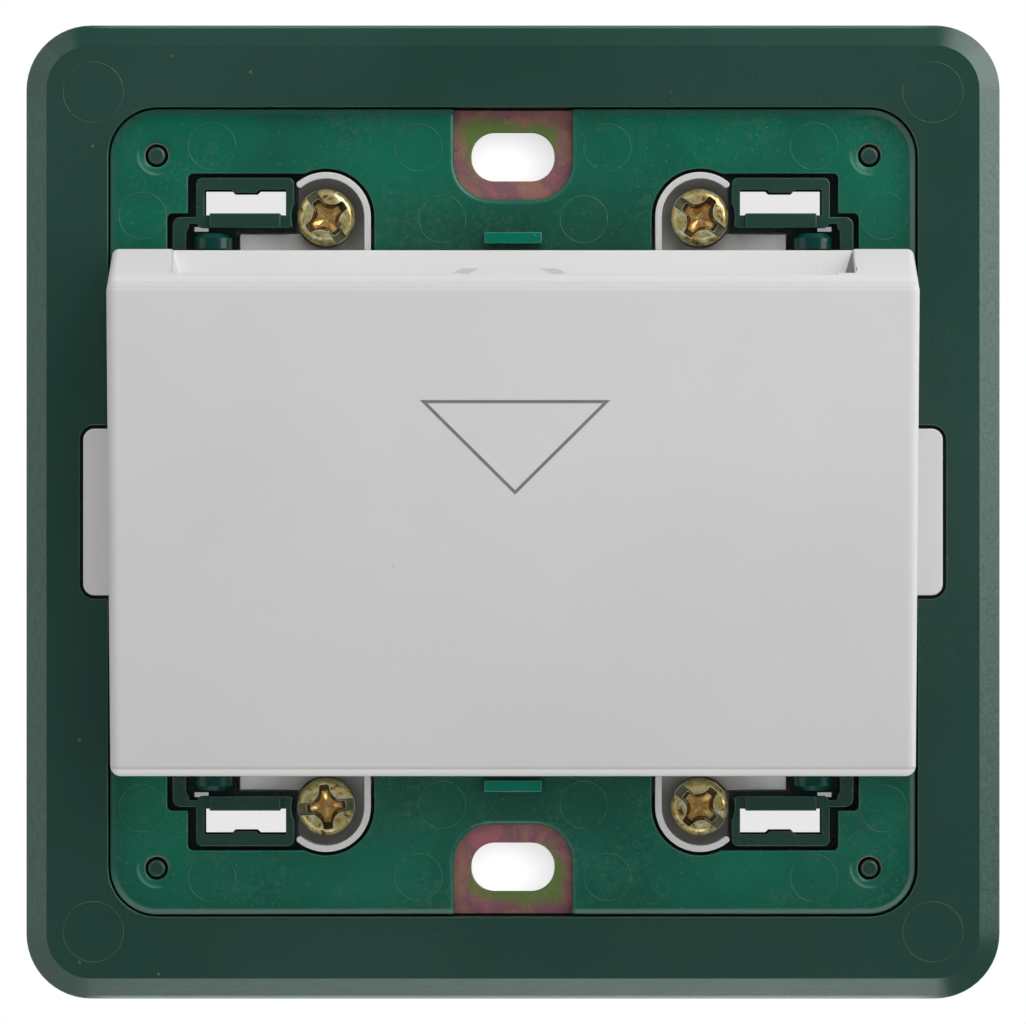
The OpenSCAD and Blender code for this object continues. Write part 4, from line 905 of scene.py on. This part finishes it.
def make_ring_tree():
    """Hairline rings, as ejector pins leave them, one about each point."""
    tree, given, result = grow_tree(
        "ejector_ring_tree", [("Ring radius", VALUE), ("Line radius", VALUE), ("Finish", MATERIAL)])
    path = circle(tree, 72, given["Ring radius"])
    ring = laid(tree, tube(tree, path, circle(tree, 8, given["Line radius"]), False), 1.0)
    rings = put(tree, "GeometryNodeInstanceOnPoints", {"Points": given["Geometry"], "Instance": ring})
    close_tree(tree, rings.outputs[0], given["Finish"], result)
    return tree


def make_coil_tree():
    """Compression spring along Y whose end turns lie closer than its middle turns."""
    tree, given, result = grow_tree(
        "lever_spring_tree", [("Coil radius", VALUE), ("Wire radius", VALUE), ("Turns", VALUE),
                              ("Length", VALUE), ("Front", VECTOR), ("Finish", MATERIAL)])
    coil = helix(tree, 32, given["Turns"], given["Coil radius"], given["Length"])
    spot = along(tree, put(tree, "GeometryNodeInputPosition").outputs[0])
    share = put(tree, "ShaderNodeMapRange", {"Value": spot["Z"], "From Max": given["Length"]},
                interpolation_type="SMOOTHSTEP")
    eased = product(tree, share.outputs["Result"], given["Length"])
    height = blended(tree, eased, 0.55, spot["Z"])
    moved = put(tree, "ShaderNodeCombineXYZ", {"X": spot["X"], "Y": spot["Y"], "Z": height})
    eased_coil = put(tree, "GeometryNodeSetPosition", {"Geometry": coil, "Position": moved.outputs[0]})
    wire = tube(tree, eased_coil.outputs[0], circle(tree, 14, given["Wire radius"]), True)
    close_tree(tree, laid(tree, wire, -1.0, given["Front"]), given["Finish"], result)
    return tree


def make_screw_tree():
    """Screws on points along Y: a pattern with a helical thread, turned about its own axis."""
    tree, given, result = grow_tree(
        "threaded_screw_tree", [("Pattern", OBJECT), ("Turn", VALUE), ("Thread radius", VALUE),
                                ("Ridge", VALUE), ("Turns", VALUE), ("Thread start", VECTOR),
                                ("Thread length", VALUE), ("Finish", MATERIAL)])
    pattern = put(tree, "GeometryNodeObjectInfo", {"Object": given["Pattern"]})
    path = helix(tree, 28, given["Turns"], given["Thread radius"], given["Thread length"])
    thread = tube(tree, path, circle(tree, 4, given["Ridge"]), True)
    whole = put(tree, "GeometryNodeJoinGeometry")
    tree.links.new(pattern.outputs["Geometry"], whole.inputs[0])
    tree.links.new(laid(tree, thread, -1.0, given["Thread start"]), whole.inputs[0])
    spin = put(tree, "ShaderNodeCombineXYZ", {"Y": given["Turn"]})
    screws = put(tree, "GeometryNodeInstanceOnPoints", {
        "Points": given["Geometry"], "Instance": whole.outputs[0], "Rotation": spin.outputs[0]})
    close_tree(tree, screws.outputs[0], given["Finish"], result)
    return tree


def grown(name, tree, points, values):
    """Plain mesh that a tree grows on points given in mm."""
    seed = bpy.data.meshes.new(name + "_points")
    seed.from_pydata([Vector(point) * MM for point in points], [], [])
    holder = bpy.data.objects.new(name + "_holder", seed)
    bpy.context.scene.collection.objects.link(holder)
    modifier = holder.modifiers.new("grow", "NODES")
    modifier.node_group = tree
    for item in tree.interface.items_tree:
        if item.in_out == "INPUT" and item.name in values:
            modifier[item.identifier] = values[item.name]
    mesh = evaluated(holder)
    holder.modifiers.remove(modifier)
    bpy.data.objects.remove(holder)
    shape = opened(mesh)
    bmesh.ops.recalc_face_normals(shape, faces=shape.faces)
    return settled(shape, mesh)


ring_tree = make_ring_tree()
coil_tree = make_coil_tree()
screw_tree = make_screw_tree()

# Ejector marks: four on the frame and four mirrored sets on the sheet
corners = [(sx, sz) for sx in (-1, 1) for sz in (-1, 1)]
mark_reach = 35.5
frame_marks = [(sx * mark_reach, FRAME_FRONT, sz * mark_reach) for sx, sz in corners]
sheet_quarter = [(25.5, 31.0), (8.0, 30.9), (6.0, 24.8), (31.4, 25.1)]
sheet_marks = [(sx * x, SHEET_FRONT, sz * z) for x, z in sheet_quarter for sx, sz in corners]
for name, marks, radius, finish_used, slot in (
        ("frame_ejector_marks", frame_marks, 2.55, ring_highlight_dark, "frame_plastic"),
        ("sheet_ejector_marks", sheet_marks, 2.0, ring_highlight_green, "sheet_plastic")):
    mesh = grown(name, ring_tree, marks, {
        "Ring radius": radius * MM, "Line radius": 0.03 * MM, "Finish": finish_used})
    show(name, mesh, finish_used, "housing", even=False, crease=60.0)

# Terminal screws, each with its own turn about the depth; patterns are kept out of the scene
terminal_pattern = bpy.data.objects.new("terminal_screw_pattern", terminal_screw_pattern())
for name, side, level, turn in (("upper_left", -1, 1, 57.0), ("upper_right", 1, 1, 35.0),
                                ("lower_left", -1, -1, -6.0), ("lower_right", 1, -1, 40.0)):
    node = name + "_terminal_screw"
    mesh = grown(node, screw_tree, [(side * TERMINAL_X, 0.0, level * TERMINAL_Z)], {
        "Pattern": terminal_pattern, "Turn": math.radians(turn), "Thread radius": 1.3 * MM,
        "Ridge": 0.19 * MM, "Turns": 18.0, "Thread start": (0.0, 2.4 * MM, 0.0),
        "Thread length": 9.0 * MM, "Finish": screw_film})
    show(node + "_threaded", mesh, screw_film, node, (node,), crease=38.0)

# Tapping screws: four behind the pocket and four in the rear cover
for node, seat, x, z, length in (("pocket_screws", 0.8, 19.5, 16.5, 5.95),
                                 ("rear_cover_screws", 19.2, 20.9, 8.0, 9.55)):
    tapping_pattern = bpy.data.objects.new(node + "_pattern", tapping_screw_pattern(length))
    points = [(sx * x, seat, sz * z) for sx, sz in corners]
    threaded = length - 1.5
    mesh = grown(node, screw_tree, points, {
        "Pattern": tapping_pattern, "Turn": math.radians(20.0), "Thread radius": 0.83 * MM,
        "Ridge": 0.16 * MM, "Turns": threaded, "Thread start": (0.0, (1.0 - length) * MM, 0.0),
        "Thread length": threaded * MM, "Finish": bright_steel})
    show(node + "_threaded", mesh, bright_steel, "housing", (node,), crease=38.0)

# Lever spring, whose end turns lie closer than its middle turns
spring = show("lever_spring_coil", grown("lever_spring_coil", coil_tree, [(0.0, 0.0, 0.0)], {
    "Coil radius": 1.9 * MM, "Wire radius": 0.25 * MM, "Turns": 6.5, "Length": 8.8 * MM,
    "Front": (0.0, -4.65 * MM, -11.0 * MM), "Finish": spring_steel}), spring_steel, "housing",
    ("lever_spring",), even=False, crease=60.0)
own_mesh(spring)


def joined(name, shapes):
    """Mesh of several solids together."""
    mesh = bpy.data.meshes.new(name)
    whole = bmesh.new()
    for shape in shapes:
        whole.from_mesh(settled(shape, mesh))
    return settled(whole, mesh)


def gap_liner(side, level):
    """Dark strip that closes the narrow gap round one terminal's outer wall, below the strap."""
    start, sweep, steps = 62.0, 130.0, 24
    front, back = -1.95, -1.5
    angles = [math.radians(start + sweep * i / steps) for i in range(steps + 1)]
    outer, inner = [[(side * (TERMINAL_X + radius * math.cos(a)), level * (TERMINAL_Z + radius * math.sin(a)))
                     for a in angles] for radius in (4.6, 3.76)]
    outline = outer + list(reversed(inner))
    return loft([(outline, front), (outline, back)])


def slot_end(side):
    """Leaning lead-in at one end of the card slot."""
    wall, lean = 28.62, 0.62
    points = [(wall, -5.9, 22.05), (wall, -13.6, 20.2), (wall, -13.6, 17.0), (wall, -7.9, 17.0),
              (wall - lean, -7.3, 20.2), (wall - lean, -7.9, 17.0)]
    shape = bmesh.new()
    for x, y, z in points:
        shape.verts.new((side * x * MM, y * MM, z * MM))
    bmesh.ops.convex_hull(shape, input=shape.verts)
    bmesh.ops.recalc_face_normals(shape, faces=shape.faces)
    return shape


liners = [gap_liner(side, level) for side, level in corners]
show("terminal_gap_liners", joined("terminal_gap_liners", liners), dark_green, "housing",
     even=False)
# Painted light on the left slot end, painted shade on the right one
for name, side, finish_used in (("left_slot_end", -1, painted_light_grey), ("right_slot_end", 1, painted_shade_grey)):
    show(name, joined(name, [slot_end(side)]), finish_used, "housing", even=False)


def pocket_front(x, z, rise):
    """Point in mm on the pocket's leaning front, raised off it."""
    return Vector((x, POCKET_FRONT_Y + POCKET_LEAN * z - rise, z)) * MM


def arrow_sign():
    """Outlined downward triangle, printed on the pocket."""
    middle, half, top, apex, line = 0.17, 7.9, 9.28, 1.44, 0.26
    sunk, raised = -0.01, 0.012
    height = top - apex
    slant = math.hypot(half, height)
    drop = line * (half + slant) / height
    outer = [(middle - half, top), (middle + half, top), (middle, apex)]
    inner = [(middle - half + drop, top - line), (middle + half - drop, top - line),
             (middle, apex + line * slant / half)]
    shape = bmesh.new()
    rings = [[shape.verts.new(pocket_front(x, z, rise)) for x, z in points]
             for points, rise in ((outer, sunk), (outer, raised), (inner, raised), (inner, sunk))]
    bridge(shape, rings + rings[:1])
    bmesh.ops.recalc_face_normals(shape, faces=shape.faces)
    return settled(shape, bpy.data.meshes.new("arrow_sign"))


show("arrow_sign", arrow_sign(), printed_grey, "housing", even=False)

# Inner pieces keep their CAD shapes and take real finishes
inner_finishes = {"card_lever": lever_grey, "lever_pin": bright_steel}
for side in ("left_", "right_"):
    for piece, finish_used in (("switch_case", switch_grey), ("switch_lid", switch_grey),
                               ("plunger", plunger_white), ("contact_blade", contact_brass),
                               ("line_bar", bar_brass), ("load_bar", bar_brass)):
        inner_finishes[side + piece] = finish_used
    for level in ("upper_", "lower_"):
        inner_finishes[level + side + "terminal_cage"] = cage_steel
for node, finish_used in inner_finishes.items():
    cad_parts[node].material_slots[0].material = finish_used


def shown_rays(tree):
    """One for the rays that show the background: camera, glossy and transmission rays."""
    rays = put(tree, "ShaderNodeLightPath").outputs
    gloss_or_glass = maths(tree, "MAXIMUM", rays["Is Glossy Ray"], rays["Is Transmission Ray"])
    return maths(tree, "MAXIMUM", rays["Is Camera Ray"], gloss_or_glass)


def one_sided(tree, surface):
    """Ends a material in a surface that is clear from behind."""
    clear = put(tree, "ShaderNodeBsdfTransparent")
    behind = put(tree, "ShaderNodeNewGeometry").outputs["Backfacing"]
    sides = put(tree, "ShaderNodeMixShader", {0: behind, 1: surface, 2: clear.outputs[0]})
    tree.links.new(sides.outputs[0], tree.nodes["Material Output"].inputs["Surface"])


def staged(name, shape, material, hidden_from):
    """Adds a stage object that some kinds of rays don't see."""
    holder = solid_object(name, shape)
    holder.data.materials.append(material)
    for rays in hidden_from:
        setattr(holder, "visible_" + rays, False)


def make_floor():
    """Pale round floor that keeps the shadow near the part and runs out into white."""
    level, radius, white_from, white_at = -0.060, 3.0, 0.06, 0.17
    material, tree, shader, place = finish("pale_floor")
    shader.inputs["Base Color"].default_value = (0.82, 0.82, 0.82, 1.0)
    shader.inputs["Roughness"].default_value = 0.9
    spot = along(tree, place)
    reach = distance(tree, spot["X"], spot["Y"])
    white = put(tree, "ShaderNodeEmission", {"Color": WHITE})
    share = product(tree, shown_rays(tree), ranged(tree, reach, white_from, white_at))
    blend = put(tree, "ShaderNodeMixShader", {0: share, 1: shader.outputs[0], 2: white.outputs[0]})
    one_sided(tree, blend.outputs[0])
    shape = bmesh.new()
    bmesh.ops.create_circle(shape, cap_ends=True, segments=96, radius=radius,
                            matrix=Matrix.Translation((0.0, 0.0, level)))
    staged("pale_floor", shape, material, ("glossy", "shadow"))


def make_wall_patch():
    """Glowing pale wall seen through the openings, with painted shade: white behind the middle of the fixing
    slots, fading to painted shade at their edges, and greyer painted shade behind the clip sockets.
    """
    half, behind, socket_start = 36.0, 0.6, 9.0
    lit_middle, lit_half = (-0.9, -0.7), (4.6, 3.1)
    material, tree, shader, place = finish("wall_patch")
    tree.nodes.remove(shader)
    spot = along(tree, place)
    upward = unsigned(tree, spot["Z"])
    outward = maths(tree, "SUBTRACT", upward, FIXING_Z * MM)
    below = product(tree, outward, maths(tree, "SIGN", spot["Z"]))
    legs = []
    for way, middle, reach in zip((spot["X"], below), lit_middle, lit_half):
        legs.append(maths(tree, "DIVIDE", maths(tree, "SUBTRACT", way, middle * MM), reach * MM))
    # Painted shade: darker towards the slots' edges, and greyer behind the clip sockets
    slot_painted_shade = ranged(tree, distance(tree, *legs), 0.45, 1.15, 1.0, 0.70)
    socket_painted_shade = ranged(tree, upward, 24.5 * MM, 25.2 * MM, 0.32, 0.80)
    socket = maths(tree, "GREATER_THAN", unsigned(tree, spot["X"]), socket_start * MM)
    light = put(tree, "ShaderNodeMix", {0: socket, 2: slot_painted_shade, 3: socket_painted_shade}).outputs[0]
    mirrored = put(tree, "ShaderNodeLightPath").outputs["Is Glossy Ray"]
    plain = product(tree, light, rest_of(tree, mirrored))
    glow = put(tree, "ShaderNodeEmission", {"Color": WHITE, "Strength": plain})
    one_sided(tree, glow.outputs[0])
    shape = bmesh.new()
    shape.faces.new([shape.verts.new((x * MM, behind * MM, z * MM)) for x, z in rectangle(half, half)])
    staged("wall_patch", shape, material, ("diffuse", "shadow"))


def dome_point(around, off_axis, reach):
    """Point about the part: degrees round the view axis from the right, degrees off that axis, and metres."""
    turn, tilt = math.radians(around), math.radians(off_axis)
    across = math.sin(tilt)
    return Vector((across * math.cos(turn), -math.cos(tilt), across * math.sin(turn))) * reach


def make_card(name, off_axis, levels):
    """Curved studio card for reflections: degrees off the view axis, and (degrees round it, brightness)."""
    steps, rows, reach = 6, 12, 0.9
    material, tree, shader, _ = finish(name)
    tree.nodes.remove(shader)
    glow = put(tree, "ShaderNodeEmission", {"Color": WHITE, "Strength": marked(tree, "level")})
    tree.links.new(glow.outputs[0], tree.nodes["Material Output"].inputs["Surface"])
    columns = [[begin + (end - begin) * i / steps for begin, end in zip(start, stop)]
               for start, stop in zip(levels, levels[1:]) for i in range(steps + 1)]
    tilts = [off_axis[0] + (off_axis[1] - off_axis[0]) * j / rows for j in range(rows + 1)]
    shape = bmesh.new()
    bright = shape.verts.layers.float.new("level")
    grid = []
    for around, brightness in columns:
        column = [shape.verts.new(dome_point(around, tilt, reach)) for tilt in tilts]
        for vert in column:
            vert[bright] = brightness
        grid.append(column)
    for near, far in zip(grid, grid[1:]):
        for j in range(rows):
            shape.faces.new((near[j], near[j + 1], far[j + 1], far[j]))
    staged(name, shape, material, ("camera", "diffuse", "transmission", "shadow"))


def make_world():
    """Soft even light, with white where the background is seen."""
    world = bpy.data.worlds.new("soft_studio")
    bpy.context.scene.world = world
    world.use_nodes = True
    tree = world.node_tree
    tree.nodes.clear()
    soft = put(tree, "ShaderNodeBackground", {"Color": WHITE, "Strength": 0.42})
    white = put(tree, "ShaderNodeBackground", {"Color": WHITE, "Strength": 1.0})
    blend = put(tree, "ShaderNodeMixShader", {0: shown_rays(tree), 1: soft.outputs[0], 2: white.outputs[0]})
    put(tree, "ShaderNodeOutputWorld", {"Surface": blend.outputs[0]})


def make_lamp(name, place, width, height, power, mirrored=False):
    """Soft area lamp that faces the part, seen in reflections or not; metres and watts."""
    lamp = bpy.data.lights.new(name, "AREA")
    lamp.shape = "RECTANGLE"
    lamp.size = width
    lamp.size_y = height
    lamp.energy = power
    holder = bpy.data.objects.new(name, lamp)
    holder.location = place
    holder.rotation_euler = (-Vector(place)).to_track_quat("-Z", "Y").to_euler()
    holder.visible_camera = False
    holder.visible_glossy = mirrored
    bpy.context.scene.collection.objects.link(holder)


def make_camera():
    """Camera square in front of the part, framed as the photograph is."""
    sensor, focus, width_there, distance_off = 36.0, 520.0, 87.1, 0.523
    camera = bpy.data.cameras.new("front_camera")
    camera.sensor_width = sensor
    camera.lens = sensor * focus / width_there
    camera.clip_start = 0.01
    holder = bpy.data.objects.new("front_camera", camera)
    holder.location = (0.0, -distance_off, 0.0)
    holder.rotation_euler = (math.pi / 2.0, 0.0, 0.0)
    bpy.context.scene.collection.objects.link(holder)
    bpy.context.scene.camera = holder


make_floor()
make_wall_patch()
make_card("front_card", (0.5, 50.0), [(0.0, 0.03), (360.0, 0.03)])
make_card("edge_card", (50.0, 92.0), [
    (-30.0, 0.06), (-9.0, 0.2), (0.0, 1.4), (8.0, 3.9), (40.0, 3.6), (66.0, 2.4), (80.0, 0.05),
    (108.0, 0.02), (116.0, 0.85), (248.0, 0.85), (262.0, 1.0), (270.0, 2.5), (276.0, 3.0), (281.0, 1.5),
    (290.0, 0.10), (330.0, 0.06)])
make_world()
make_lamp("top_lamp", (0.05, -0.18, 0.44), 0.5, 0.4, 1.75)
make_lamp("key_lamp", (0.34, -0.55, 0.40), 0.3, 0.3, 0.75, mirrored=True)
make_lamp("left_lamp", (-0.55, -0.42, 0.05), 0.45, 0.6, 0.12)
make_lamp("right_lamp", (0.60, -0.30, 0.16), 0.25, 0.6, 1.0)
make_lamp("low_lamp", (0.10, -0.40, -0.50), 0.6, 0.3, 0.16)
make_camera()
bpy.context.scene.view_settings.view_transform = "Standard"
